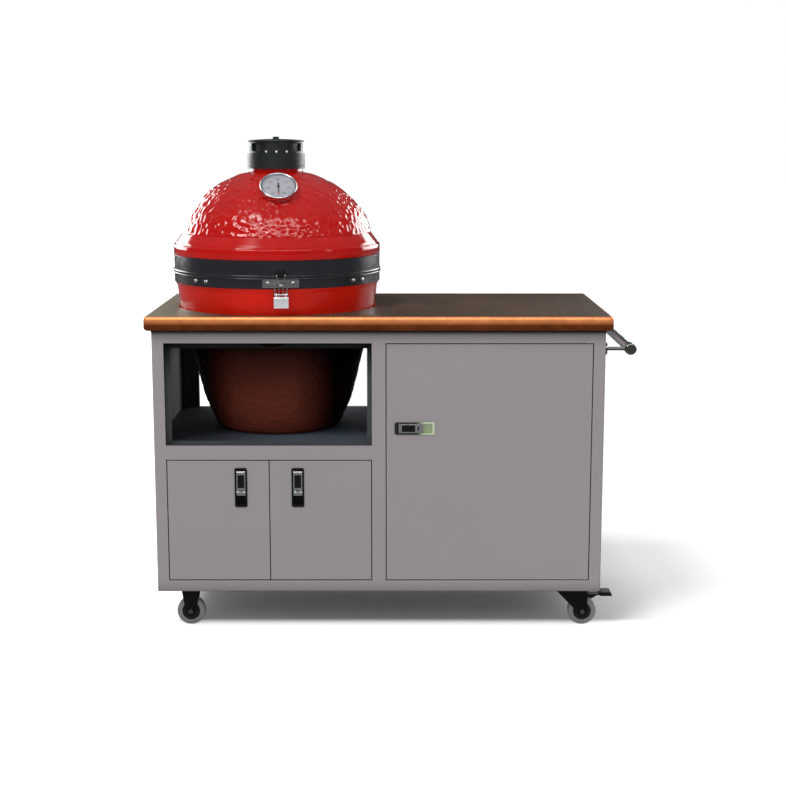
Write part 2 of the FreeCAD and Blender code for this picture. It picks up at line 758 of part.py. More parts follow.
def latch_housing():
    half_w, half_l = LATCH_WIDTH / 2, LATCH_LENGTH / 2
    cup_w, cup_l = LATCH_CUP_WIDTH / 2, LATCH_CUP_LENGTH / 2
    wall = LATCH_CUP_WALL
    plate = rounded_box(-half_w, half_w, -LATCH_PLATE, 0, -half_l, half_l, LATCH_CORNER_R)
    front_edges = [e for e in plate.Edges
                   if all(abs(v.Y + LATCH_PLATE) < EDGE_TOLERANCE for v in e.Vertexes)]
    plate = plate.makeFillet(LATCH_PLATE * 0.5, front_edges)
    cup = box(-cup_w - wall, cup_w + wall, 0, LATCH_CUP_DEPTH + wall, -cup_l - wall, cup_l + wall)
    body = fused([plate, cup])
    body = body.cut(box(-cup_w, cup_w, -LATCH_PLATE - 1, LATCH_CUP_DEPTH, -cup_l, cup_l))
    y, z = paddle_pivot()
    return fused([body, rod(PADDLE_PIVOT_R, (-cup_w - wall, y, z), (cup_w + wall, y, z))])


def latch_paddle():
    # A flat grip with a rolled lip at its free end and a barrel on the pin at the other.
    y, z = paddle_pivot()
    half = LATCH_CUP_WIDTH / 2 - PADDLE_SIDE_GAP
    face = -LATCH_PLATE + PADDLE_RECESS
    end = z - PADDLE_LENGTH
    plate = box(-half, half, face, face + PADDLE_THICK, end, z)
    lip = box(-half, half, face, face + PADDLE_THICK + PADDLE_LIP, end, end + PADDLE_THICK)
    bead_y, bead_z = face + PADDLE_BEAD_SINK, end + PADDLE_BEAD_FROM_END
    bead = rod(PADDLE_BEAD_R, (-half, bead_y, bead_z), (half, bead_y, bead_z))
    barrel = rod(PADDLE_BARREL_R, (-half, y, z), (half, y, z))
    paddle = fused([plate, lip, bead, barrel])
    return paddle.cut(rod(PADDLE_PIVOT_R + RUNNING_GAP, (-half - 1, y, z), (half + 1, y, z)))


# Push handle

def handle_ends():
    return (FRONT + HANDLE_END_INSET, BACK - HANDLE_END_INSET)


def handle_bar():
    y0, y1 = handle_ends()
    return tube(HANDLE_R, HANDLE_R - HANDLE_WALL, (HANDLE_X, y0, HANDLE_Z), (HANDLE_X, y1, HANDLE_Z))


def handle_brackets():
    # At each end an arm from the side panel carries a closed socket for the bar.
    brackets = []
    for end, inward in zip(handle_ends(), (1, -1)):
        y_close = end - inward * HANDLE_SOCKET_END
        y_open = end + inward * (HANDLE_SOCKET_LENGTH - HANDLE_SOCKET_END)
        socket = rod(HANDLE_SOCKET_R, (HANDLE_X, y_close, HANDLE_Z), (HANDLE_X, y_open, HANDLE_Z))
        rims = [e for e in socket.Edges if e.Closed and abs(e.BoundBox.YMin - y_close) < EDGE_TOLERANCE
                and abs(e.BoundBox.YMax - y_close) < EDGE_TOLERANCE]
        socket = socket.makeFillet(HANDLE_SOCKET_ROUND, rims)
        y_arm = (y_close + y_open) / 2
        root = (HALF_WIDTH, y_arm, HANDLE_Z)
        arm = rod(HANDLE_ARM_R, root, (HANDLE_X, y_arm, HANDLE_Z))
        foot = rod(HANDLE_FOOT_R, root, (HALF_WIDTH + HANDLE_FOOT_THICK, y_arm, HANDLE_Z))
        bracket = fused([socket, arm, foot])
        bore_end = (HANDLE_X, y_open + inward, HANDLE_Z)
        brackets.append(bracket.cut(rod(HANDLE_R, (HANDLE_X, end, HANDLE_Z), bore_end)))
    return Part.makeCompound(brackets)


# Casters

def wheel(x, y):
    half = WHEEL_WIDTH / 2
    solid = rod(WHEEL_R, (x, y - half, WHEEL_R), (x, y + half, WHEEL_R))
    solid = solid.makeFillet(WHEEL_EDGE_R, [e for e in solid.Edges if e.Closed])
    for side in (-1, 1):
        face = y + side * half
        floor = face - side * WHEEL_DISH
        groove = tube(WHEEL_R - WHEEL_TREAD, HUB_R, (x, face, WHEEL_R), (x, floor, WHEEL_R))
        solid = solid.cut(groove)
    return solid.cut(rod(AXLE_R + RUNNING_GAP, (x, y - half - 1, WHEEL_R), (x, y + half + 1, WHEEL_R)))


def axle(x, y):
    reach = FORK_Y + FORK_SHEET
    shaft = rod(AXLE_R, (x, y - reach - AXLE_HEAD, WHEEL_R), (x, y + reach + AXLE_HEAD, WHEEL_R))
    heads = []
    for side in (-1, 1):
        start = (x, y + side * reach, WHEEL_R)
        heads.append(hex_head(AXLE_HEAD_R, start, (x, y + side * (reach + AXLE_HEAD), WHEEL_R)))
    return fused([shaft] + heads)


def hex_head(radius, start, end):
    # A hexagonal head or nut from one point to the other.
    axis = Vector(*end) - Vector(*start)
    corners = []
    for k in range(HEX_SIDES):
        angle = 2 * math.pi * k / HEX_SIDES
        corners.append(Vector(radius * math.cos(angle), radius * math.sin(angle), 0))
    prism = Part.Face(Part.makePolygon(corners + [corners[0]])).extrude(Vector(0, 0, axis.Length))
    prism.Placement = FreeCAD.Placement(Vector(*start), FreeCAD.Rotation(Vector(0, 0, 1), axis))
    return prism


def mount_plate(x, y):
    half_x, half_y = CASTER_PLATE_LENGTH / 2, CASTER_PLATE_WIDTH / 2
    z0 = CAB_BOTTOM - CASTER_PLATE_THICK
    plate = box(x - half_x, x + half_x, y - half_y, y + half_y, z0, CAB_BOTTOM)
    return plate.cut(bolt_holes(x, y, z0 - 1, CAB_BOTTOM + 1))


def fork_legs(x0, x1, x_axle, y, z_top):
    # Two cheeks that narrow from x0 to x1 at the top down to the axle.
    legs = []
    foot = FORK_FOOT_R
    points = [(x0, z_top), (x1, z_top), (x_axle + foot, WHEEL_R), (x_axle - foot, WHEEL_R)]
    for side in (-1, 1):
        ya = y + side * FORK_Y
        yb = y + side * (FORK_Y + FORK_SHEET)
        cheek = plate_xz(points, min(ya, yb), max(ya, yb))
        end = rod(foot, (x_axle, ya, WHEEL_R), (x_axle, yb, WHEEL_R))
        legs.append(fused([cheek, end]))
    return legs


def axle_bore(x, y):
    reach = FORK_Y + FORK_SHEET + 1
    return rod(AXLE_R, (x, y - reach, WHEEL_R), (x, y + reach, WHEEL_R))


def rigid_bracket(x, y):
    plate = mount_plate(x, y)
    z = CAB_BOTTOM - CASTER_PLATE_THICK
    legs = fork_legs(x - RIGID_LEG_HALF, x + RIGID_LEG_HALF, x, y, z)
    return fused([plate] + legs).cut(axle_bore(x, y))


def swivel_plate(x, y):
    z = CAB_BOTTOM - CASTER_PLATE_THICK
    race = rod(SWIVEL_RACE_R, (x, y, z - SWIVEL_RACE), (x, y, z))
    pin_end = fork_top() - FORK_SHEET - SWIVEL_GAP
    pin = rod(KINGPIN_R, (x, y, pin_end), (x, y, z))
    head = rod(KINGPIN_HEAD_R, (x, y, pin_end - FORK_SHEET), (x, y, pin_end))
    return fused([mount_plate(x, y), race, pin, head])


def fork_top():
    return CAB_BOTTOM - CASTER_PLATE_THICK - SWIVEL_RACE - SWIVEL_GAP


def pedal_pivot(x):
    return (x + SWIVEL_TRAIL + PEDAL_PIVOT_X, CAB_BOTTOM - PEDAL_PIVOT_DROP)


def swivel_fork(x, y):
    z = fork_top()
    reach = FORK_Y + FORK_SHEET
    crown = box(x - SWIVEL_RACE_R, x + SWIVEL_RACE_R, y - reach, y + reach, z - FORK_SHEET, z)
    legs = fork_legs(x - SWIVEL_LEG_AFT, x + SWIVEL_LEG_FORE, x + SWIVEL_TRAIL, y, z)
    px, pz = pedal_pivot(x)
    pin = rod(PEDAL_PIN_R, (px, y - reach, pz), (px, y + reach, pz))
    ears = []
    for side in (-1, 1):
        ears.append(rod(PEDAL_EAR_R, (px, y + side * FORK_Y, pz), (px, y + side * reach, pz)))
    fork = fused([crown] + legs + ears + [pin])
    bore = rod(KINGPIN_R + RUNNING_GAP, (x, y, z - FORK_SHEET - 1), (x, y, z + 1))
    return fork.cut(bore).cut(axle_bore(x + SWIVEL_TRAIL, y))


def brake_pedal(x, y):
    # A lever on a pin between the fork's cheeks, stiffened by two ribs, with a wide foot tip.
    px, pz = pedal_pivot(x)
    half = FORK_Y - FORK_SIDE_GAP
    barrel = rod(PEDAL_BARREL_R, (px, y - half, pz), (px, y + half, pz))
    tip_x = px + PEDAL_REACH - PEDAL_TIP_LENGTH
    arm = box(px, tip_x + PEDAL_TIP_SINK, y - half, y + half, pz - PEDAL_THICK / 2, pz + PEDAL_THICK / 2)
    tip_half = PEDAL_TIP_WIDTH / 2
    tip = plate_xz([(tip_x, pz - PEDAL_THICK / 2), (px + PEDAL_REACH, pz - PEDAL_THICK / 2),
                    (px + PEDAL_REACH - PEDAL_TIP_TAPER, pz + PEDAL_TIP_RISE),
                    (tip_x + PEDAL_TIP_TAPER, pz + PEDAL_TIP_RISE)], y - tip_half, y + tip_half)
    rib_points = [(px, pz), (px + PEDAL_RIB_START, pz - PEDAL_RIB_DROP),
                  (px + PEDAL_RIB_DEEPEST, pz - PEDAL_RIB_DEPTH), (px + PEDAL_RIB_END, pz)]
    ribs = [plate_xz(rib_points, y - half, y - half + PEDAL_RIB_THICK),
            plate_xz(rib_points, y + half - PEDAL_RIB_THICK, y + half)]
    pedal = fused([barrel, arm, tip] + ribs)
    return pedal.cut(rod(PEDAL_PIN_R + RUNNING_GAP, (px, y - half - 1, pz), (px, y + half + 1, pz)))


def front_and_rear(piece, x):
    return Part.makeCompound([piece(x, -CASTER_Y), piece(x, CASTER_Y)])


# Grill shells

def bowl():
    outer = BOWL_POINTS
    inner = [(r - BOWL_WALL, z) for r, z in outer[1:]]
    inner_top = inner[-1][0]
    foot_in = FOOT_RING_R - FOOT_RING_WIDTH
    floor_r = inner[0][0] - BOWL_FLOOR_BEVEL
    edges = [line((0, FOOT_RING_HEIGHT), (foot_in, FOOT_RING_HEIGHT)),
             line((foot_in, FOOT_RING_HEIGHT), (foot_in, 0)),
             line((foot_in, 0), (FOOT_RING_R, 0)),
             line((FOOT_RING_R, 0), outer[0]),
             curve(outer),
             line(outer[-1], (RIM_R, RIM_SEAT_HEIGHT)),
             line((RIM_R, RIM_SEAT_HEIGHT), (RIM_R, RIM_HEIGHT)),
             line((RIM_R, RIM_HEIGHT), (inner_top, RIM_HEIGHT)),
             line((inner_top, RIM_HEIGHT), inner[-1]),
             curve(list(reversed(inner))),
             line(inner[0], (floor_r, BOWL_FLOOR)),
             line((floor_r, BOWL_FLOOR), (0, BOWL_FLOOR)),
             line((0, BOWL_FLOOR), (0, FOOT_RING_HEIGHT))]
    return turned(edges)


def draft_z():
    z0 = BOWL_FLOOR + DRAFT_FROM_FLOOR
    return z0, z0 + DRAFT_HEIGHT


def draft_window(grow):
    z0, z1 = draft_z()
    half = DRAFT_WIDTH / 2 + grow
    return box(-half, half, 0, RIM_R, z0 - grow, z1 + grow)


def draft_face():
    # The draft frame stands clear behind the bowl at its widest height there.
    r0, z0 = BOWL_POINTS[0]
    r1, z1 = BOWL_POINTS[1]
    return r0 + (r1 - r0) * (draft_z()[1] + DRAFT_FRAME - z0) / (z1 - z0)


def draft_frame(bowl_outer):
    # A flanged frame, scribed to the bowl, with a groove that the draft door slides in.
    z0, z1 = draft_z()
    half = DRAFT_WIDTH / 2 + DRAFT_FRAME
    y1 = draft_face() + DRAFT_FRAME_THICK
    body = box(-half, half, 0, y1, z0 - DRAFT_FRAME, z1 + DRAFT_FRAME)
    body = body.cut(bowl_outer).cut(draft_window(0))
    body = max(body.Solids, key=lambda s: s.CenterOfMass.y)
    groove_y = y1 - DRAFT_FRAME_THICK / 2
    g = DRAFT_DOOR_THICK / 2 + DRAFT_DOOR_GAP
    lift = DRAFT_FRAME / 2 + DRAFT_DOOR_GAP
    groove = box(-half - 1, half + 1, groove_y - g, groove_y + g, z0 - lift, z1 + lift)
    return body.cut(groove)


def draft_door():
    z0, z1 = draft_z()
    y1 = draft_face() + DRAFT_FRAME_THICK
    mid = y1 - DRAFT_FRAME_THICK / 2
    half = DRAFT_WIDTH / 2 + DRAFT_FRAME / 2
    g = DRAFT_DOOR_THICK / 2
    lift = DRAFT_FRAME / 2
    plate = box(-half, half, mid - g, mid + g, z0 - lift, z1 + lift)
    zc = (z0 + z1) / 2
    knob_x = -half + DRAFT_KNOB_FROM_END
    knob = rod(DRAFT_KNOB_R, (knob_x, mid, zc), (knob_x, y1 + DRAFT_KNOB_OUT, zc))
    return fused([plate, knob])


def dome_points():
    return [(r, DOME_BASE + z) for r, z in DOME_POINTS]


def dome_inner(point):
    centre = DOME_BASE + DOME_CENTRE_HEIGHT
    r, z = point
    reach = math.hypot(r, z - centre)
    k = (reach - DOME_WALL) / reach
    return (r * k, centre + (z - centre) * k)


def dome():
    # The dome's rim stands in its band, a ridged lip rises above the band, and the shell closes
    # in to a neck.
    outer = dome_points()
    lip_r = BAND_R + DOME_LIP_PROUD
    lip_z = DOME_BASE + DOME_LIP_HEIGHT
    band_top = DOME_BASE + UPPER_BAND_HEIGHT
    inner = [dome_inner(p) for p in outer]
    inner_r = inner[0][0]
    inner_top = (THROAT_R, inner[-2][1] + THROAT_EDGE)
    neck_r = outer[-1][0]
    edges = [line((inner_r, DOME_BASE), (RIM_R, DOME_BASE)),
             line((RIM_R, DOME_BASE), (RIM_R, band_top)),
             line((RIM_R, band_top), (lip_r - DOME_LIP_BEVEL, band_top)),
             line((lip_r - DOME_LIP_BEVEL, band_top), (lip_r, band_top + DOME_LIP_BEVEL)),
             line((lip_r, band_top + DOME_LIP_BEVEL), (lip_r, lip_z - DOME_LIP_RIDGE)),
             line((lip_r, lip_z - DOME_LIP_RIDGE), (lip_r - DOME_LIP_RIDGE, lip_z)),
             line((lip_r - DOME_LIP_RIDGE, lip_z), outer[0]),
             line(outer[0], outer[1]),
             curve(outer[1:]),
             line(outer[-1], (neck_r, DOME_TOP)),
             line((neck_r, DOME_TOP), (THROAT_R, DOME_TOP)),
             line((THROAT_R, DOME_TOP), inner_top),
             curve([inner_top] + list(reversed(inner[1:-2]))),
             line(inner[1], inner[0]),
             line(inner[0], (inner_r, DOME_BASE))]
    return turned(edges)


def band(z0, z1):
    profile = [(RIM_R, z0), (BAND_R - 1, z0), (BAND_R, z0 + 1),
               (BAND_R, z1 - 1), (BAND_R - 1, z1), (RIM_R, z1)]
    return turned(outline(profile))


def gasket(z0):
    return tube(RIM_R, RIM_R - GASKET_WIDTH, (0, 0, z0), (0, 0, z0 + GASKET_THICK))


# Grill furniture

def bowl_inner_r(z):
    return bowl_outer_r(z) - BOWL_WALL


def firebox_top():
    return BOWL_FLOOR + FIREBOX_HEIGHT


def firebox_r(z):
    return bowl_inner_r(z) - FIREBOX_GAP


def firebox():
    z0, z1 = BOWL_FLOOR, firebox_top()
    zl = BOWL_FLOOR + FIREBOX_LEDGE_HEIGHT
    zm = (zl + z1) / 2
    knee = BOWL_POINTS[1][1]
    foot_r = firebox_r(knee) - BOWL_FLOOR_BEVEL
    ledge_r = firebox_r(zl) - FIREBOX_WALL
    profile = [(foot_r, z0), (firebox_r(knee), knee), (firebox_r(zm), zm), (firebox_r(z1), z1),
               (firebox_r(z1) - FIREBOX_WALL, z1), (firebox_r(zm) - FIREBOX_WALL, zm), (ledge_r, zl),
               (ledge_r - FIREBOX_LEDGE, zl), (foot_r - FIREBOX_WALL, z0)]
    return turned(outline(profile)).cut(draft_window(-FIREBOX_DRAFT_INSET))


def slots(radius, width, pitch, z0, z1):
    # Parallel slots that fill a round plate out to a radius.
    cuts = []
    count = int(radius / pitch)
    for k in range(-count, count + 1):
        x = k * pitch
        reach = math.sqrt(max(radius * radius - (abs(x) + width) ** 2, 0.0))
        if reach > width:
            cuts.append(box(x - width / 2, x + width / 2, -reach, reach, z0, z1))
    return Part.makeCompound(cuts)


def charcoal_grate():
    z0 = BOWL_FLOOR + FIREBOX_LEDGE_HEIGHT
    z1 = z0 + CHARCOAL_GRATE_THICK
    radius = firebox_r(z0) - FIREBOX_WALL - GRATE_GAP
    plate = rod(radius, (0, 0, z0), (0, 0, z1))
    return plate.cut(slots(radius - CHARCOAL_EDGE, CHARCOAL_SLOT, CHARCOAL_PITCH, z0 - 1, z1 + 1))


def cooking_top():
    return firebox_top() + 2 * (COOKING_RING_R + COOKING_ROD_R) - COOKING_SINK


def cooking_grate():
    # Rods welded into notches of a ring and two cross bars.
    radius = firebox_r(firebox_top()) - FIREBOX_WALL / 2
    ring_z = firebox_top() + COOKING_RING_R
    bar_z = ring_z + COOKING_RING_R - COOKING_ROD_R
    rod_z = cooking_top() - COOKING_ROD_R
    pieces = [Part.makeTorus(radius, COOKING_RING_R, Vector(0, 0, ring_z))]
    for y in (-radius / 2, radius / 2):
        reach = math.sqrt(radius * radius - y * y)
        pieces.append(rod(COOKING_ROD_R, (-reach, y, bar_z), (reach, y, bar_z)))
    rods = []
    count = int((radius - COOKING_EDGE) / COOKING_PITCH)
    for k in range(-count, count + 1):
        x = k * COOKING_PITCH
        reach = math.sqrt(radius * radius - x * x)
        rods.append(rod(COOKING_ROD_R, (x, -reach, rod_z), (x, reach, rod_z)))
    return Part.makeCompound([fused(pieces).cut(Part.makeCompound(rods))] + rods)


# Lid hinge, latch and bolts

def hinge_axis():
    return (BAND_R + HINGE_OUT, RIM_HEIGHT)


def lower_band_z():
    return (RIM_HEIGHT - LOWER_BAND_HEIGHT, RIM_HEIGHT)


def upper_band_z():
    return (DOME_BASE, DOME_BASE + UPPER_BAND_HEIGHT)


def hinge_plate(z0, z1):
    # A saddle scribed to the band behind it.
    half = HINGE_WIDTH / 2
    y0 = math.sqrt(BAND_R ** 2 - half ** 2)
    saddle = box(-half, half, y0, BAND_R + HINGE_PLATE_THICK, z0, z1)
    return saddle.cut(rod(BAND_R, (0, 0, z0 - 1), (0, 0, z1 + 1)))


def hinge_ear(x0, x1, z0, z1):
    y, z = hinge_axis()
    barrel = rod(HINGE_BARREL_R, (x0, y, z), (x1, y, z))
    web = box(x0, x1, BAND_R, y, z0, z1)
    return fused([barrel, web])


def lid_hinge_lower():
    z0, z1 = lower_band_z()
    z1 -= 1
    half = HINGE_WIDTH / 2
    y, z = hinge_axis()
    pieces = [hinge_plate(z0, z1)]
    for side in (-1, 1):
        xa, xb = sorted((side * half, side * (half - HINGE_EAR)))
        pieces.append(hinge_ear(xa, xb, z - HINGE_BARREL_R, z))
    reach = half + HINGE_PIN_PROUD
    pieces.append(rod(HINGE_PIN_R, (-reach, y, z), (reach, y, z)))
    body = fused(pieces)
    return body.cut(rod(BAND_R, (0, 0, z0 - 1), (0, 0, z1 + HINGE_BARREL_R + 2)))


def lid_hinge_upper():
    z0, z1 = upper_band_z()
    inner = HINGE_WIDTH / 2 - HINGE_EAR - HINGE_SIDE_GAP
    y, z = hinge_axis()
    z0 += HINGE_PLATE_LIFT
    pieces = [box(-inner, inner, BAND_R - HINGE_PLATE_DEPTH, BAND_R + HINGE_PLATE_THICK, z0, z1)]
    for side in (-1, 1):
        xa, xb = sorted((side * inner, side * (inner - HINGE_EAR)))
        arm = box(xa, xb, BAND_R + 1, y, z, z1 - HINGE_ARM_DROP)
        pieces.append(fused([arm, rod(HINGE_BARREL_R, (xa, y, z), (xb, y, z))]))
    body = fused(pieces)
    body = body.cut(rod(HINGE_PIN_R + RUNNING_GAP, (-inner - 1, y, z), (inner + 1, y, z)))
    return body.cut(rod(BAND_R, (0, 0, z - HINGE_BARREL_R - 1), (0, 0, z1 + 1)))


def band_sector(half_width, z0, z1, thick):
    # A strip of the given width, bent round the front of the bands.
    angle = math.degrees(half_width / BAND_R)
    strip = Part.makeCylinder(BAND_R + thick, z1 - z0, Vector(0, 0, z0), Vector(0, 0, 1), 2 * angle)
    strip.rotate(Vector(0, 0, 0), Vector(0, 0, 1), -90 - angle)
    return strip.cut(rod(BAND_R, (0, 0, z0 - 1), (0, 0, z1 + 1)))


def on_band(radius, angle, z):
    # A point at an angle from the front, positive towards +X.
    a = math.radians(angle)
    return (radius * math.sin(a), -radius * math.cos(a), z)


def dome_head(radius, height, base_r, angle, z):
    # A round bolt head standing on the band.
    start = on_band(base_r - BOLT_SINK, angle, z)
    end = on_band(base_r + height, angle, z)
    head = rod(radius, start, end)
    rims = [e for e in head.Edges if e.Closed]
    top = max(rims, key=lambda e: math.hypot(e.BoundBox.Center.x, e.BoundBox.Center.y))
    head = head.makeFillet(height * BOLT_ROUND, [top])
    return head.cut(rod(base_r, (0, 0, z - 2 * radius), (0, 0, z + 2 * radius)))


def band_bolts():
    z0, z1 = lower_band_z()
    height = (z0 + z1) / 2
    return [dome_head(BAND_BOLT_R, BAND_BOLT_HEIGHT, BAND_R, angle, height) for angle in BAND_BOLT_ANGLES]


def bolts():
    # Every bolt of the cart: those of the lower band and those of the four casters.
    found = [grill(bolt) for bolt in band_bolts()]
    for x in (RIGID_X, SWIVEL_X):
        for y in (-CASTER_Y, CASTER_Y):
            found += caster_bolts(x, y)
    return Part.makeCompound(found)


def lever_axis():
    z0, z1 = lower_band_z()
    return (-(BAND_R + LEVER_PIN_OUT), (z0 + z1) / 2 - LEVER_DROP)


def lid_latch_bracket():
    # A strip bolted to the lower band, with two arms that hold the lever's pin below it.
    z0, z1 = lower_band_z()
    zc = (z0 + z1) / 2
    half_h = LID_LATCH_HEIGHT / 2
    strip = band_sector(LID_LATCH_WIDTH / 2, zc - half_h, zc + half_h, LID_LATCH_THICK)
    y, z = lever_axis()
    pieces = [strip]
    arm_x = LEVER_WIDTH / 2 - LID_LATCH_ARM_INSET
    for side in (-1, 1):
        xa, xb = sorted((side * arm_x, side * (arm_x - LEVER_EAR_THICK)))
        arm = box(xa, xb, y - LID_LATCH_ARM_OUT, -BAND_R + LID_LATCH_THICK, z, zc)
        pieces.append(fused([arm, rod(LID_LATCH_ARM_R, (xa, y, z), (xb, y, z))]))
    pin_half = LEVER_WIDTH / 2 - LEVER_PIN_INSET
    pieces.append(rod(LEVER_PIN_R, (-pin_half, y, z), (pin_half, y, z)))
    bolt_x = LID_LATCH_WIDTH / 2 - LID_LATCH_BOLT_FROM_END
    for side in (-1, 1):
        angle = side * math.degrees(bolt_x / BAND_R)
        pieces.append(dome_head(LID_LATCH_BOLT_R, LID_LATCH_BOLT_HEIGHT, BAND_R + LID_LATCH_THICK, angle, zc))
    body = fused(pieces)
    return body.cut(rod(BAND_R, (0, 0, z - LEVER_LENGTH), (0, 0, zc + half_h + 1)))


def lid_latch_lever():
    # The lever hangs from the pin; its ears lie inside the bracket's arms.
    y, z = lever_axis()
    half = LEVER_WIDTH / 2
    z_top = z - LEVER_TOP_DROP
    z_end = z - LEVER_LENGTH
    back = y - LEVER_FACE_GAP
    front = back - LEVER_THICK
    plate = box(-half, half, front, back, z_end, z_top)
    bar_y, bar_z = y - LEVER_THICK, z_top - LEVER_BAR_R
    bar = rod(LEVER_BAR_R, (-half, bar_y, bar_z), (half, bar_y, bar_z))
    lip = box(-half, half, front - LEVER_LIP_OUT, back, z_end, z_end + LEVER_LIP_THICK)
    inner = half - LID_LATCH_ARM_INSET - LEVER_EAR_THICK - LEVER_EAR_GAP
    pieces = [plate, bar, lip]
    for side in (-1, 1):
        xa, xb = sorted((side * inner, side * (inner - LEVER_EAR_THICK)))
        ear = box(xa, xb, front, y + LEVER_EAR_BACK, z_top - 2, z)
        pieces.append(fused([ear, rod(LEVER_EAR_R, (xa, y, z), (xb, y, z))]))
    body = fused(pieces)
    return body.cut(rod(LEVER_PIN_R + RUNNING_GAP, (-half - 1, y, z), (half + 1, y, z)))


def lid_latch_bail():
    # Two wires rise from eyes on the pin, run side by side and fork apart in front of the keeper.
    y, z = lever_axis()
    pieces = []
    for side in (-1, 1):
        x = side * BAIL_SPREAD
        eye = tube(BAIL_EYE_R, LEVER_PIN_R + RUNNING_GAP, (x - BAIL_WIRE_R, y, z), (x + BAIL_WIRE_R, y, z))
        start = (x, y, z + BAIL_EYE_R - BAIL_EYE_SINK)
        bend = (x, y, z + BAIL_FORK_HEIGHT)
        tip = (side * BAIL_TIP_SPREAD, y, z + BAIL_HEIGHT)
        stem = rod(BAIL_WIRE_R, start, bend)
        knee = Part.makeSphere(BAIL_WIRE_R, Vector(*bend))
        prong = rod(BAIL_WIRE_R, bend, tip)
        ball = Part.makeSphere(BAIL_TIP_R, Vector(*tip))
        pieces += [eye, stem, knee, prong, ball]
    low = z + BAIL_FORK_HEIGHT - BAIL_TIE_DROP
    pieces.append(rod(BAIL_WIRE_R, (-BAIL_SPREAD, y, low), (BAIL_SPREAD, y, low)))
    return fused(pieces)


def lid_keeper():
    # A dark hook plate with a V notch on the upper band.
    z0, z1 = upper_band_z()
    half, low = KEEPER_WIDTH / 2, z0 + 1
    high = low + KEEPER_HEIGHT
    shoulder = high - KEEPER_CORNER
    points = [(-half, low), (half, low), (half, shoulder), (half / 2, high), (0, high - KEEPER_NOTCH),
              (-half / 2, high), (-half, shoulder)]
    plate = plate_xz(points, -BAND_R - KEEPER_THICK, -BAND_R + BAND_THICK)
    return plate.cut(rod(BAND_R - KEEPER_SINK, (0, 0, z0), (0, 0, z1)))


def upper_band():
    z0, z1 = upper_band_z()
    return fused([band(z0, z1), lid_keeper()]).cut(rod(RIM_R, (0, 0, z0 - 1), (0, 0, z1 + 1)))


# Thermometer

def gauge_direction():
    a = math.radians(GAUGE_ELEVATION)
    return Vector(0, -math.cos(a), math.sin(a))


def gauge_seat(shell):
    # Where the thermometer's axis leaves the dome.
    centre = Vector(0, 0, DOME_BASE + DOME_CENTRE_HEIGHT)
    ray = Part.makeLine(centre, centre + gauge_direction() * 2 * RIM_R)
    inside = shell.common(ray)
    return max((v.Point for v in inside.Vertexes), key=lambda p: (p - centre).Length)


def along(seat, s):
    p = seat + gauge_direction() * s
    return (p.x, p.y, p.z)


def thermometer_case(seat, shell):
    # The collar under the case is scribed to the dome.
    back = GAUGE_STANDOFF
    case = rod(GAUGE_R, along(seat, back), along(seat, CASE_FRONT))
    case = case.makeFillet(GAUGE_EDGE_R, [e for e in case.Edges if e.Closed])
    case = case.cut(rod(GAUGE_R - GAUGE_RIM, along(seat, CASE_FLOOR), along(seat, CASE_FRONT + 1)))
    stem = rod(PROBE_R, along(seat, back + 1), along(seat, -PROBE_LENGTH))
    collar = rod(COLLAR_R, along(seat, -1), along(seat, back + 1)).cut(shell)
    return fused([case, stem, collar])


def thermometer_dial(seat):
    return rod(GAUGE_R - GAUGE_RIM, along(seat, CASE_FLOOR), along(seat, DIAL_FACE))


def thermometer_glass(seat):
    return rod(GAUGE_R - GAUGE_RIM, along(seat, GLASS_BACK), along(seat, GLASS_BACK + GLASS_THICK))


def thermometer_needle(seat):
    s0 = DIAL_FACE + NEEDLE_LIFT
    n = gauge_direction()
    down = Vector(0, -n.z, n.y)
    side = Vector(1, 0, 0)
    c = seat + n * s0
    tail, mid, tip = side * NEEDLE_TAIL_HALF, side * NEEDLE_MID_HALF, side * NEEDLE_TIP_HALF
    above, below = c - down * NEEDLE_TAIL, c + down * NEEDLE_LENGTH
    corners = [above + tail, c + mid, below + tip, below - tip, c - mid, above - tail]
    blade = Part.Face(Part.makePolygon(corners + [corners[0]])).extrude(n * NEEDLE_THICK)
    hub = rod(NEEDLE_HUB_R, along(seat, s0), along(seat, s0 + NEEDLE_THICK + NEEDLE_HUB_RISE))
    spindle = rod(NEEDLE_SPINDLE_R, along(seat, DIAL_FACE + RUNNING_GAP), along(seat, s0 + NEEDLE_SINK))
    return fused([blade, hub, spindle])


# Vent tower

def vent_hinge_axis():
    return (VENT_R + VENT_HINGE_R + VENT_HINGE_OUT, VENT_CARRIER_Z + VENT_HINGE_RISE)


def vent_collar():
    z1 = DOME_TOP + VENT_COLLAR_HEIGHT
    body = tube(VENT_R, THROAT_R, (0, 0, DOME_TOP), (0, 0, z1))
    y, z = vent_hinge_axis()
    half = VENT_HINGE_WIDTH / 2
    pieces = [body]
    for side in (-1, 1):
        xa, xb = sorted((side * half, side * (half - VENT_HINGE_EAR)))
        pieces.append(rod(VENT_HINGE_R, (xa, y, z), (xb, y, z)))
        pieces.append(box(xa, xb, VENT_R - VENT_HINGE_ROOT, y, DOME_TOP, z1 - 1))
    pieces.append(rod(VENT_HINGE_PIN_R, (-half, y, z), (half, y, z)))
    return fused(pieces)


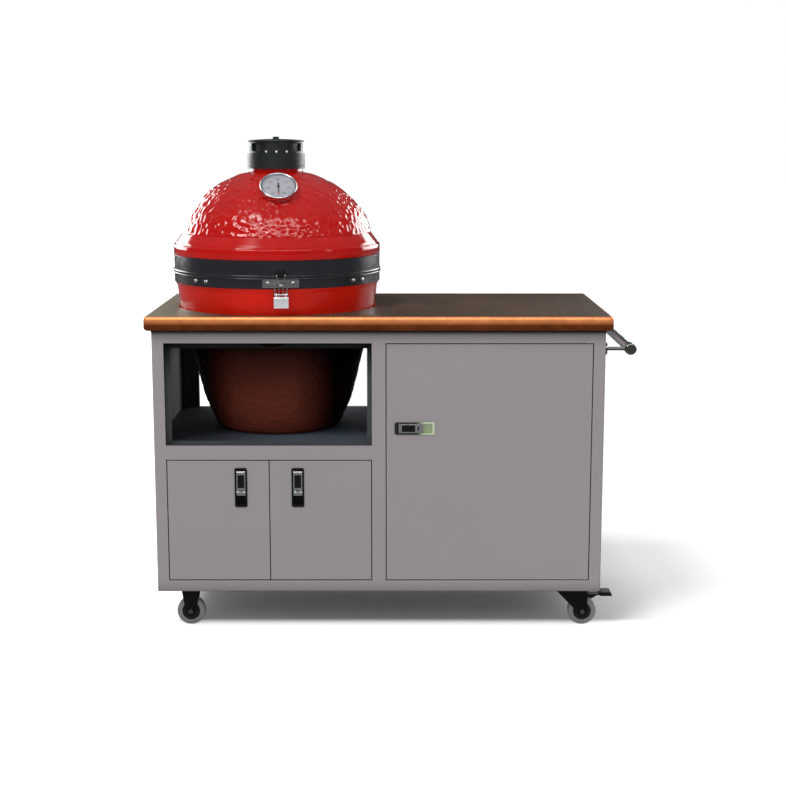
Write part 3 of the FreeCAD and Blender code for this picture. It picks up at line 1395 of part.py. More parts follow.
def vent_carrier():
    # The ring that flips up on the collar's hinge, with the fixed sleeve that the drum turns on.
    bore_r = VENT_SLEEVE_R - VENT_SLEEVE_WALL
    foot = (0, 0, VENT_CARRIER_Z)
    base = tube(VENT_R, bore_r, foot, (0, 0, VENT_DRUM_Z - VENT_GAP))
    sleeve = tube(VENT_SLEEVE_R, bore_r, foot, (0, 0, VENT_LID_Z - VENT_GAP))
    y, z = vent_hinge_axis()
    half = VENT_HINGE_WIDTH / 2 - VENT_HINGE_EAR - VENT_HINGE_SIDE_GAP
    barrel = rod(VENT_HINGE_R, (-half, y, z), (half, y, z))
    web = box(-half, half, VENT_R - VENT_HINGE_ROOT, y, z + 1, z + VENT_HINGE_R)
    body = fused([base, sleeve, barrel, web])
    body = body.cut(vent_windows(bore_r - 1, VENT_SLEEVE_R + 1, 0.0))
    return body.cut(rod(VENT_HINGE_PIN_R + RUNNING_GAP, (-half - 1, y, z), (half + 1, y, z)))


def vent_windows(inner, outer, turn):
    # Windows round a wall. With no turn one of them is at the front.
    zc = VENT_DRUM_Z + VENT_WINDOW_RISE
    z0, z1 = zc - VENT_WINDOW_HEIGHT / 2, zc + VENT_WINDOW_HEIGHT / 2
    cuts = []
    for k in range(VENT_WINDOWS):
        wedge = Part.makeCylinder(outer, z1 - z0, Vector(0, 0, z0), Vector(0, 0, 1), VENT_WINDOW_ANGLE)
        start = k * 360.0 / VENT_WINDOWS + turn - VENT_WINDOW_ANGLE / 2
        wedge.rotate(Vector(0, 0, 0), Vector(0, 0, 1), start)
        cuts.append(wedge.cut(rod(inner, (0, 0, z0 - 1), (0, 0, z1 + 1))))
    return Part.makeCompound(cuts)


def vent_drum():
    # At rest its windows stand over the sleeve's walls.
    body = tube(VENT_DRUM_R, VENT_SLEEVE_R + VENT_GAP, (0, 0, VENT_DRUM_Z), (0, 0, VENT_LID_Z))
    return body.cut(vent_windows(VENT_SLEEVE_R - 1, VENT_DRUM_R + 1, 180.0 / VENT_WINDOWS))


def vent_lid():
    # A shallow domed cap with a knob, fixed to the drum.
    rise = VENT_LID_RISE
    z1 = VENT_LID_Z + VENT_LID_EDGE
    top = z1 + rise
    crown_r = (VENT_LID_R ** 2 + rise ** 2) / (2 * rise)
    mid_r = VENT_LID_R / 2
    mid_z = top - crown_r + math.sqrt(crown_r ** 2 - mid_r ** 2)
    arc = Part.Arc(Vector(VENT_LID_R, 0, z1), Vector(mid_r, 0, mid_z), Vector(0, 0, top)).toShape()
    rim_foot = (VENT_LID_R, VENT_LID_Z)
    edges = [line((0, VENT_LID_Z), rim_foot), line(rim_foot, (VENT_LID_R, z1)), arc,
             line((0, top), (0, VENT_LID_Z))]
    knob = rod(VENT_KNOB_R, (0, 0, z1), (0, 0, z1 + VENT_KNOB_HEIGHT))
    return fused([turned(edges), knob])


# Every piece by name

def build():
    nodes = {}
    core = worktop_core()
    nodes["worktop_core"] = core
    nodes["worktop_skin"] = worktop_skin(core)
    nodes["face_frame"] = face_frame()
    nodes["side_panel_left"] = side_panel(-1)
    nodes["side_panel_right"] = side_panel(1)
    nodes["rear_panel"] = rear_panel()
    nodes["bottom_panel"] = bottom_panel()
    nodes["centre_divider"] = centre_divider()
    nodes["grill_shelf"] = grill_shelf()
    nodes["storage_shelf"] = storage_shelf()
    nodes["door_pivot_pins"] = door_pivot_pins()
    housing, paddle = latch_housing(), latch_paddle()
    for name in door_widths():
        nodes[name] = door(name)
        nodes[name.replace("door", "latch_housing")] = set_latch(housing, name)
        nodes[name.replace("door", "latch_paddle")] = set_latch(paddle, name)
    nodes["handle_bar"] = handle_bar()
    nodes["handle_brackets"] = handle_brackets()
    for place, y in (("front", -CASTER_Y), ("rear", CASTER_Y)):
        nodes["rigid_wheel_" + place] = wheel(RIGID_X, y)
        nodes["swivel_fork_" + place] = swivel_fork(SWIVEL_X, y)
        nodes["swivel_wheel_" + place] = wheel(SWIVEL_X + SWIVEL_TRAIL, y)
        nodes["swivel_axle_" + place] = axle(SWIVEL_X + SWIVEL_TRAIL, y)
        nodes["brake_pedal_" + place] = brake_pedal(SWIVEL_X, y)
    nodes["rigid_brackets"] = front_and_rear(rigid_bracket, RIGID_X)
    nodes["rigid_axles"] = front_and_rear(axle, RIGID_X)
    nodes["swivel_plates"] = front_and_rear(swivel_plate, SWIVEL_X)

    shell = bowl()
    dome_shell = dome()
    seat = gauge_seat(dome_shell)
    bowl_core = rod(bowl_inner_r(BOWL_POINTS[1][1]), (0, 0, FOOT_RING_HEIGHT), (0, 0, RIM_HEIGHT - 1))
    solid_bowl = Part.makeCompound([shell, bowl_core])
    probe_hole = rod(PROBE_R + RUNNING_GAP, along(seat, GAUGE_STANDOFF), along(seat, -DOME_WALL * 2))
    dome_shell = dome_shell.cut(probe_hole)
    made = {
        "grill_bowl": shell.cut(draft_window(0)),
        "draft_frame": draft_frame(solid_bowl),
        "draft_door": draft_door(),
        "firebox": firebox(),
        "charcoal_grate": charcoal_grate(),
        "cooking_grate": cooking_grate(),
        "gasket_lower": gasket(RIM_HEIGHT),
        "band_lower": band(*lower_band_z()),
        "lid_hinge_lower": lid_hinge_lower(),
        "lid_latch_bracket": lid_latch_bracket(),
        "lid_latch_lever": lid_latch_lever(),
        "lid_latch_bail": lid_latch_bail(),
        "grill_dome": dome_shell,
        "gasket_upper": gasket(LID_BASE),
        "band_upper": upper_band(),
        "lid_hinge_upper": lid_hinge_upper(),
        "thermometer_case": thermometer_case(seat, dome_shell),
        "thermometer_dial": thermometer_dial(seat),
        "thermometer_needle": thermometer_needle(seat),
        "thermometer_glass": thermometer_glass(seat),
        "vent_collar": vent_collar(),
        "vent_carrier": vent_carrier(),
        "vent_drum": vent_drum(),
        "vent_lid": vent_lid(),
    }
    for name, shape in made.items():
        nodes[name] = grill(shape)
    nodes["bolts"] = bolts()
    return nodes


def outline_middle(nodes):
    boxes = [shape.optimalBoundingBox(False) for shape in nodes.values()]
    x = (min(b.XMin for b in boxes) + max(b.XMax for b in boxes)) / 2
    y = (min(b.YMin for b in boxes) + max(b.YMax for b in boxes)) / 2
    return Vector(x, y, 0)


nodes = build()
middle = outline_middle(nodes)
for shape in nodes.values():
    shape.translate(-middle)
os.makedirs("parts", exist_ok=True)
for name, shape in nodes.items():
    if not shape.isValid():
        raise ValueError(name + " is not a valid shape")
    shape.exportStep("parts/" + name + ".step")
print(len(nodes), "nodes written")
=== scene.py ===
import math

import bmesh
import bpy
from bpy.props import FloatProperty, FloatVectorProperty, IntProperty, PointerProperty
from mathutils import Matrix, Vector, noise


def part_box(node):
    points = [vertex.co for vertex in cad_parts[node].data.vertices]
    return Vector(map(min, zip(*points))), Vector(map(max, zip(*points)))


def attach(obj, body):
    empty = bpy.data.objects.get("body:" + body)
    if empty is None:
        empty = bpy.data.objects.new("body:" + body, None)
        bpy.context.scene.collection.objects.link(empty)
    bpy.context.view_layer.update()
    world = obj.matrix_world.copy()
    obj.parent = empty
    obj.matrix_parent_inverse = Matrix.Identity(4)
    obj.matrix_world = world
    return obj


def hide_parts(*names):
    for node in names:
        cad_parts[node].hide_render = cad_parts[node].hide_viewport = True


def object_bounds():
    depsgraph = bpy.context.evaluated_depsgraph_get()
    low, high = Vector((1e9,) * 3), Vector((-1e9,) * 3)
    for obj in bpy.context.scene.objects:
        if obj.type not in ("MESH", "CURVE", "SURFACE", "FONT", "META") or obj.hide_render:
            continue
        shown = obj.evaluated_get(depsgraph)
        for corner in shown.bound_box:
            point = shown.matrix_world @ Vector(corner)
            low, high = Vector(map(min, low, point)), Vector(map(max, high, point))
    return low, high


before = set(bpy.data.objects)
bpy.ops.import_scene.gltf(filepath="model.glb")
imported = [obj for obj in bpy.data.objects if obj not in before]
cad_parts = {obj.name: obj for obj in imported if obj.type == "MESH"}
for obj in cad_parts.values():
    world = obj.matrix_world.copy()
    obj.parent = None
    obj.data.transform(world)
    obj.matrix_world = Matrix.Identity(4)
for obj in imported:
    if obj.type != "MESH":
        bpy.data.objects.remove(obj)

bl_info = {
    "name": "Grill Cart with Storage",
    "version": (1, 0, 0),
    "blender": (4, 5, 0),
    "location": "View3D > Sidebar > Grill Cart",
    "description": "Dresses a cabinet cart with a ceramic grill, a copper worktop and its casters",
    "category": "Object",
}

# Lengths are in metres. +X runs along the cart to its push handle, -Y is the front, +Z is up.
RIGHT = (1, 0, 0)
UP = (0, 0, 1)
CAD_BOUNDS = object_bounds()
TOP_LOW, TOP_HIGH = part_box("worktop_skin")
FACE_LOW, FACE_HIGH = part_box("face_frame")
BOWL_LOW, BOWL_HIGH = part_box("grill_bowl")
GRILL_AXIS = Vector(((BOWL_LOW.x + BOWL_HIGH.x) / 2, (BOWL_LOW.y + BOWL_HIGH.y) / 2, 0.0))
GRILL_FOOT = Matrix.Translation((GRILL_AXIS.x, GRILL_AXIS.y, BOWL_LOW.z))

# The grill stands turned a little on its own upright axis.
GRILL_TURN = math.radians(6.0)
GRILL_PLACE = GRILL_FOOT @ Matrix.Rotation(GRILL_TURN, 4, "Z")


# Settings that a user would change

def colour_setting(name, description, default):
    return FloatVectorProperty(name=name, description=description, subtype="COLOR", size=3, min=0.0, max=1.0,
                               default=default)


def length_setting(name, description, least, most, default):
    return FloatProperty(name=name, description=description, subtype="DISTANCE", unit="LENGTH", min=least,
                         max=most, default=default)


class GRILLCART_PG_worktop(bpy.types.PropertyGroup):
    patina: colour_setting(
        "Patina", "Colour of the dark aged copper on the flat of the top", (0.085, 0.052, 0.032))
    # Painted reflection: a pale colour laid on the flat of the copper beside the grill, where it would mirror
    # a bright surround.
    painted_sheen: colour_setting(
        "Painted sheen", "Colour of the pale bloom on the copper beside the grill", (0.24, 0.23, 0.17))
    copper: colour_setting(
        "Copper", "Colour of the bright copper along the rounded edge", (0.88, 0.310, 0.115))
    crimp_spacing: length_setting(
        "Crimp spacing", "Distance between the crimp marks along the front edge", 0.02, 0.5, 0.098)
    crimp_depth: length_setting("Crimp depth", "Depth of one crimp mark", 0.0, 0.002, 0.0007)
    edge_radius: length_setting(
        "Edge radius", "Rounding of the top's upper and lower edges", 0.001, 0.018, 0.009)


class GRILLCART_PG_cabinet(bpy.types.PropertyGroup):
    paint: colour_setting(
        "Paint", "Colour of the powder coat on the frame, the panels and the doors", (0.287, 0.262, 0.269))
    lining: colour_setting("Lining", "Colour of the shelf under the grill", (0.072, 0.090, 0.118))
    fold_radius: length_setting("Fold radius", "Rounding of the folded sheet edges", 0.0002, 0.003, 0.0011)
    corner_radius: length_setting(
        "Corner radius", "Rounding of the upright front corners of the cabinet", 0.001, 0.010, 0.0055)


class GRILLCART_PG_grill(bpy.types.PropertyGroup):
    glaze: colour_setting("Glaze", "Colour of the glaze on the grill's dome", (0.470, 0.006, 0.004))
    # Painted light: the bowl above the worktop gets a brighter, more orange copy of the dome's glaze.
    lit_bowl_glaze: colour_setting(
        "Bowl glaze painted light", "Colour of the glaze on the bowl above the worktop", (0.62, 0.011, 0.003))
    # Painted shade: the bowl under the worktop gets a darker copy of the glaze.
    painted_shade_glaze: colour_setting(
        "Glaze in painted shade", "Colour of the darker glaze on the bowl under the worktop", (0.115, 0.025, 0.016))
    dimple_size: length_setting(
        "Dimple size", "Distance between two dimples of the glazed texture", 0.006, 0.04, 0.0150)
    dimple_depth: length_setting("Dimple depth", "Depth of the glazed texture", 0.0, 0.003, 0.0025)
    turns: IntProperty(
        name="Steps round", description="Number of faces round the grill's shells", min=96, max=1024,
        default=640)


class GRILLCART_PG_hardware(bpy.types.PropertyGroup):
    steel: colour_setting(
        "Polished steel", "Colour of the latch paddles and of the gauge's case", (0.66, 0.66, 0.67))
    black: colour_setting(
        "Black coat", "Colour of the hinge, the casters and the dark latches", (0.005, 0.005, 0.006))
    rubber: colour_setting("Wheel rubber", "Colour of the caster tyres", (0.22, 0.22, 0.235))


class GRILLCART_PG_stage(bpy.types.PropertyGroup):
    sun: FloatProperty(
        name="Main light", description="Strength of the soft light from the front left", min=0.0,
        default=1.15)
    screens: FloatProperty(
        name="Screens", description="Brightness of the screens that show in the glaze and in the steel",
        min=0.0, default=6.0)
    ambient: FloatProperty(
        name="Ambient light", description="Strength of the even light from all round", min=0.0, default=0.76)


def settings(group):
    return getattr(bpy.context.scene, "grillcart_" + group)


# Shader building

BLACK = (0, 0, 0, 1)
WHITE = (1, 1, 1, 1)
COLOUR, FLOAT, VECTOR = "NodeSocketColor", "NodeSocketFloat", "NodeSocketVector"


def fill(tree, node, inputs):
    """Sets a node's inputs to values, and links those that are given as sockets."""
    for key, value in inputs.items():
        if isinstance(value, bpy.types.NodeSocket):
            tree.links.new(value, node.inputs[key])
        else:
            node.inputs[key].default_value = value
    return node


def add_node(tree, kind, inputs=None, **properties):
    """A new shader node with its properties and its inputs."""
    node = tree.nodes.new(kind)
    for key, value in properties.items():
        setattr(node, key, value)
    return fill(tree, node, inputs or {})


def calculate(tree, operation, *values, clamp=False):
    """The result of a sum such as MULTIPLY."""
    node = add_node(tree, "ShaderNodeMath", dict(enumerate(values)), operation=operation, use_clamp=clamp)
    return node.outputs[0]


def vectors(tree, operation, first, second):
    """The product of two vectors, as a vector or, for DOT_PRODUCT, as a number."""
    node = add_node(tree, "ShaderNodeVectorMath", {0: first, 1: second}, operation=operation)
    return node.outputs["Value" if operation == "DOT_PRODUCT" else "Vector"]


def graded(tree, value, start, end, low=0.0, high=1.0, **properties):
    """Runs from low to high while the value runs from start to end."""
    ends = {"Value": value, "From Min": start, "From Max": end, "To Min": low, "To Max": high}
    return add_node(tree, "ShaderNodeMapRange", ends, **properties).outputs["Result"]


def mixed(tree, factor, first, second):
    """A mix of two colours."""
    parts = {"Factor": factor, "A": first, "B": second}
    return add_node(tree, "ShaderNodeMix", parts, data_type="RGBA").outputs["Result"]


def object_place(tree):
    return add_node(tree, "ShaderNodeTexCoord").outputs["Object"]


def axes_of(tree, vector):
    """The outputs X, Y and Z of a vector."""
    return add_node(tree, "ShaderNodeSeparateXYZ", {0: vector}).outputs


def soft_noise(tree, place, scale, detail, roughness=0.5):
    inputs = {"Vector": place, "Scale": scale, "Detail": detail, "Roughness": roughness}
    return add_node(tree, "ShaderNodeTexNoise", inputs).outputs["Fac"]


def new_group(name, inputs, outputs):
    """An empty shader group. inputs are (name, type, default) rows, and outputs are (name, type) rows."""
    tree = bpy.data.node_groups.new(name, "ShaderNodeTree")
    for label, kind, default in inputs:
        tree.interface.new_socket(label, in_out="INPUT", socket_type=kind).default_value = default
    for label, kind in outputs:
        tree.interface.new_socket(label, in_out="OUTPUT", socket_type=kind)
    start = tree.nodes.new("NodeGroupInput")
    end = tree.nodes.new("NodeGroupOutput")
    return tree, start.outputs, end.inputs


def use_group(tree, name, inputs):
    """The outputs of a shared effect, placed in a material with its own values."""
    node = tree.nodes.new("ShaderNodeGroup")
    node.node_tree = bpy.data.node_groups[name]
    return fill(tree, node, inputs).outputs


def make_blotches_group():
    """Two colours mixed by a large soft noise, for patina and uneven coats."""
    tree, given, out = new_group(
        "Blotches",
        (("First", COLOUR, WHITE), ("Second", COLOUR, BLACK), ("Scale", FLOAT, 6.0), ("Contrast", FLOAT, 1.5),
         ("Balance", FLOAT, 0.5)),
        (("Colour", COLOUR),))
    cloud = soft_noise(tree, object_place(tree), given["Scale"], 4.0, 0.55)
    shift = calculate(tree, "SUBTRACT", cloud, given["Balance"])
    spread = calculate(tree, "MULTIPLY_ADD", shift, given["Contrast"], 0.5, clamp=True)
    tree.links.new(mixed(tree, spread, given["First"], given["Second"]), out["Colour"])


def make_grain_group():
    """A fine even grain, such as the skin of a powder coat, of cast metal or of fired clay."""
    tree, given, out = new_group(
        "Grain",
        (("Size", FLOAT, 0.001), ("Stretch", VECTOR, (1, 1, 1)), ("Roughness low", FLOAT, 0.4),
         ("Roughness high", FLOAT, 0.5)),
        (("Height", FLOAT), ("Roughness", FLOAT)))
    pulled = vectors(tree, "MULTIPLY", object_place(tree), given["Stretch"])
    scale = calculate(tree, "DIVIDE", 1.0, given["Size"])
    fine = soft_noise(tree, pulled, scale, 2.0)
    wide = soft_noise(tree, pulled, calculate(tree, "MULTIPLY", scale, 0.07), 3.0)
    half = calculate(tree, "MULTIPLY", calculate(tree, "ADD", fine, wide), 0.5)
    rough = graded(tree, half, 0.35, 0.65, given["Roughness low"], given["Roughness high"])
    tree.links.new(fine, out["Height"])
    tree.links.new(rough, out["Roughness"])


def make_edge_wear_group():
    """A mask of the sharp edges, broken up by noise, where a coat wears through and where a painted highlight
    lies along the edge.
    """
    tree, given, out = new_group(
        "Edge wear and highlight", (("Width", FLOAT, 0.0015), ("Amount", FLOAT, 0.5), ("Break up", FLOAT, 90.0)),
        (("Mask", FLOAT),))
    rounded = add_node(tree, "ShaderNodeBevel", {"Radius": given["Width"]}, samples=4).outputs["Normal"]
    flat = add_node(tree, "ShaderNodeNewGeometry").outputs["Normal"]
    edge = graded(tree, vectors(tree, "DOT_PRODUCT", rounded, flat), 0.985, 0.86)
    torn = graded(tree, soft_noise(tree, object_place(tree), given["Break up"], 3.0), 0.42, 0.62)
    mask = calculate(tree, "MULTIPLY", edge, torn)
    tree.links.new(calculate(tree, "MULTIPLY", mask, given["Amount"], clamp=True), out["Mask"])


def make_place_shade_group():
    """Darkens a colour from one place to another along an axis, as painted shade, such as under the worktop.
    """
    tree, given, out = new_group(
        "Place shade",
        (("Colour", COLOUR, WHITE), ("Axis", VECTOR, UP), ("Start", FLOAT, 0.0), ("End", FLOAT, 1.0),
         ("Amount", FLOAT, 0.5)),
        (("Colour", COLOUR),))
    along = vectors(tree, "DOT_PRODUCT", object_place(tree), given["Axis"])
    level = graded(tree, along, given["Start"], given["End"], 0.0, given["Amount"])
    tree.links.new(mixed(tree, level, given["Colour"], BLACK), out["Colour"])


# Finishes

def new_finish(name):
    material = bpy.data.materials.new(name)
    material.use_nodes = True
    return material.node_tree, material.node_tree.nodes["Principled BSDF"]


def bump(tree, shader, height, strength, distance):
    node = add_node(tree, "ShaderNodeBump", {"Height": height, "Strength": strength, "Distance": distance})
    tree.links.new(node.outputs["Normal"], shader.inputs["Normal"])


def rgba(colour, factor=1.0):
    return (colour[0] * factor, colour[1] * factor, colour[2] * factor, 1.0)


def blotched(tree, first, second, scale, contrast=1.5):
    """A colour that varies softly between two."""
    given = {"First": first, "Second": second, "Scale": scale, "Contrast": contrast}
    return use_group(tree, "Blotches", given)["Colour"]


def grained(tree, size, smooth, rough, stretch=(1, 1, 1)):
    """The height and the roughness of a fine grain."""
    given = {"Size": size, "Stretch": stretch, "Roughness low": smooth, "Roughness high": rough}
    return use_group(tree, "Grain", given)


def shaded(tree, colour, shades):
    """Darkens a colour by (axis, start, end, amount) rows, as painted shade."""
    for axis, start, end, amount in shades:
        given = {"Colour": colour, "Axis": axis, "Start": start, "End": end, "Amount": amount}
        colour = use_group(tree, "Place shade", given)["Colour"]
    return colour


# What every coat has in common
COAT_ROUGHNESS = 0.12
COAT_CONTRAST = 1.6
COAT_BUMP = 0.35


def coat_finish(name, colour, variation, blotch_scale, roughness, grain_size, grain_depth, metallic=0.0,
                coat=0.0, specular=0.5, edge_wear_and_highlight=None, stretch=(1, 1, 1), shades=()):
    """A coat or a metal: an uneven colour, a grain, and, where asked for, worn edges with a painted highlight
    and places darkened as painted shade.

    The argument for the worn edges holds their width, amount and colour; their lighter colour is partly wear
    and partly a painted highlight.
    """
    tree, shader = new_finish(name)
    coloured = blotched(tree, rgba(colour, 1.0 - variation), rgba(colour, 1.0 + variation), blotch_scale,
                        COAT_CONTRAST)
    if edge_wear_and_highlight:
        worn_and_lit = use_group(tree, "Edge wear and highlight", {"Width": edge_wear_and_highlight[0], "Amount": edge_wear_and_highlight[1]})["Mask"]
        coloured = mixed(tree, worn_and_lit, coloured, rgba(edge_wear_and_highlight[2]))
    grain = grained(tree, grain_size, roughness[0], roughness[1], stretch)
    fill(tree, shader, {"Base Color": shaded(tree, coloured, shades), "Roughness": grain["Roughness"],
                        "Metallic": metallic, "Coat Weight": coat, "Coat Roughness": COAT_ROUGHNESS,
                        "Specular IOR Level": specular})
    bump(tree, shader, grain["Height"], COAT_BUMP, grain_depth)


# The copper low on the side of the sheet, darkened as painted shade.
SHADED_COPPER = ((0.120, 0.028, 0.005), (0.190, 0.050, 0.011))
# The painted reflection on the flat grows from left of the grill's axis to shortly before the top's left end.
PAINTED_SHEEN_INSET = (0.12, 0.03)
# The side of the sheet turns from painted shade to lit copper between these shares of its height.
LIT_FROM, LIT_TO = 0.40, 0.72


def copper_finish():
    """Aged copper: a dark mottled patina on the flat with a painted reflection beside the grill, and copper
    on the rounded edge, painted lit along the upper rounding and painted shade below it.
    """
    given = settings("worktop")
    tree, shader = new_finish("Aged copper")
    patina = blotched(tree, rgba(given.patina, 0.60), rgba(given.patina, 1.30), 2.6, 2.4)
    bright = blotched(tree, rgba(given.copper, 0.82), rgba(given.copper, 1.15), 30.0, 2.0)
    low = blotched(tree, rgba(SHADED_COPPER[0]), rgba(SHADED_COPPER[1]), 24.0, 2.0)
    normal = add_node(tree, "ShaderNodeNewGeometry").outputs["Normal"]
    place = axes_of(tree, object_place(tree))
    # Painted reflection on the flat of the copper, growing towards the top's left end.
    painted_sheen = graded(tree, place["X"], GRILL_AXIS.x - PAINTED_SHEEN_INSET[0], TOP_LOW.x + PAINTED_SHEEN_INSET[1])
    flat = mixed(tree, painted_sheen, patina, rgba(given.painted_sheen))
    thick = TOP_HIGH.z - TOP_LOW.z
    # Painted light and shade on the rounded edge: lit copper above, shaded copper below.
    level = graded(tree, place["Z"], TOP_LOW.z + LIT_FROM * thick, TOP_LOW.z + LIT_TO * thick)
    side = mixed(tree, level, low, bright)
    upward = graded(tree, axes_of(tree, normal)["Z"], 0.80, 0.985)
    grain = grained(tree, 0.012, 0.36, 0.52)
    fill(tree, shader, {"Base Color": mixed(tree, upward, side, flat), "Roughness": grain["Roughness"],
                        "Metallic": graded(tree, upward, 0.0, 1.0, 0.55, 0.0), "Specular IOR Level": 0.06})
    bump(tree, shader, grain["Height"], 0.25, 0.0012)


def glaze_finish(name, colour, specular, shades=()):
    """A deep gloss glaze with slightly uneven depth of colour."""
    tree, shader = new_finish(name)
    coloured = blotched(tree, rgba(colour, 0.88), rgba(colour, 1.10), 14.0, 1.8)
    grain = grained(tree, 0.0035, 0.06, 0.14)
    fill(tree, shader, {"Base Color": shaded(tree, coloured, shades), "Roughness": grain["Roughness"],
                        "Specular IOR Level": specular})
    bump(tree, shader, grain["Height"], 0.12, 0.0005)


def gauge_glass_finish():
    tree, shader = new_finish("Gauge glass")
    grain = grained(tree, 0.01, 0.0, 0.03)
    fill(tree, shader, {"Base Color": (0.96, 0.98, 0.98, 1), "Transmission Weight": 1.0, "IOR": 1.12,
                        "Roughness": grain["Roughness"]})


def felt_finish():
    """The gasket's dark felt, with the fine weave of its face."""
    tree, shader = new_finish("Gasket felt")
    coloured = blotched(tree, (0.020, 0.019, 0.019, 1), (0.060, 0.056, 0.052, 1), 60.0)
    fill(tree, shader, {"Base Color": coloured, "Roughness": 0.95, "Sheen Weight": 0.4})
    weave = add_node(tree, "ShaderNodeTexVoronoi", {"Vector": object_place(tree), "Scale": 700.0})
    bump(tree, shader, weave.outputs["Distance"], 0.6, 0.0006)


# Name, colour, variation, size of the blotches, lowest and highest roughness, size and depth of the grain.
PLAIN_COATS = (
    ("Cast iron", (0.030, 0.029, 0.028), 0.30, 20.0, (0.60, 0.80), 0.0016, 0.0009),
    ("Fired clay", (0.42, 0.33, 0.25), 0.16, 9.0, (0.80, 0.95), 0.0018, 0.0010),
    ("Dial face", (0.42, 0.40, 0.45), 0.05, 40.0, (0.35, 0.45), 0.0020, 0.0001),
    ("Dial print", (0.02, 0.02, 0.022), 0.1, 60.0, (0.5, 0.6), 0.0010, 0.0001),
    ("Needle red", (0.40, 0.008, 0.008), 0.1, 60.0, (0.4, 0.5), 0.0010, 0.0001),
    ("Tick paint", (0.80, 0.82, 0.80), 0.05, 60.0, (0.5, 0.6), 0.0010, 0.0001),
)
METALS = (
    ("Dark chrome", (0.20, 0.21, 0.19), 0.12, 60.0, (0.12, 0.24), 0.0020, 0.0001),
    ("Zinc plate", (0.52, 0.52, 0.53), 0.10, 60.0, (0.30, 0.45), 0.0015, 0.0002),
    ("Grate steel", (0.42, 0.42, 0.42), 0.12, 30.0, (0.28, 0.45), 0.0015, 0.0002),
)
# Where a finish is darkened as painted shade: axis, start, end, amount.
# Painted shade on the bowl under the worktop: darkest at the top under the worktop and towards both sides.
GLAZE_SHADES = (
    (UP, 0.58, 0.77, 0.96),
    (RIGHT, GRILL_AXIS.x + 0.06, GRILL_AXIS.x + 0.16, 0.94),
    (RIGHT, GRILL_AXIS.x - 0.11, GRILL_AXIS.x - 0.19, 0.88),
)
# Painted shade and shadow on the face frame: the top rail darker under the worktop, a painted shadow strip
# just under its overhang, and the bottom rail darker towards the floor.
FRAME_SHADES = (
    (UP, 0.790, FACE_HIGH.z, 0.50),
    (UP, FACE_HIGH.z - 0.014, FACE_HIGH.z - 0.005, 0.75),
    (UP, FACE_LOW.z + 0.030, FACE_LOW.z, 0.32),
)
# Painted shade on the shelf under the bowl, darker towards the left.
SHELF_SHADES = ((RIGHT, GRILL_AXIS.x + 0.05, GRILL_AXIS.x - 0.18, 0.68),)
# Painted shade inside the cabinet: the inside faces have a dark copy of the paint, darker still towards the
# top of the bay.
INNER_SHADES = ((UP, 0.68, 0.770, 0.88),)
# Painted reflection on the right latch's case: a pale green half-metal colour, darkened over its left part as
# painted shade so that only the right part shows bright.
LATCH_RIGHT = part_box("latch_housing_right")[1].x
LATCH_SHADES = ((RIGHT, LATCH_RIGHT - 0.028, LATCH_RIGHT - 0.046, 0.95),)


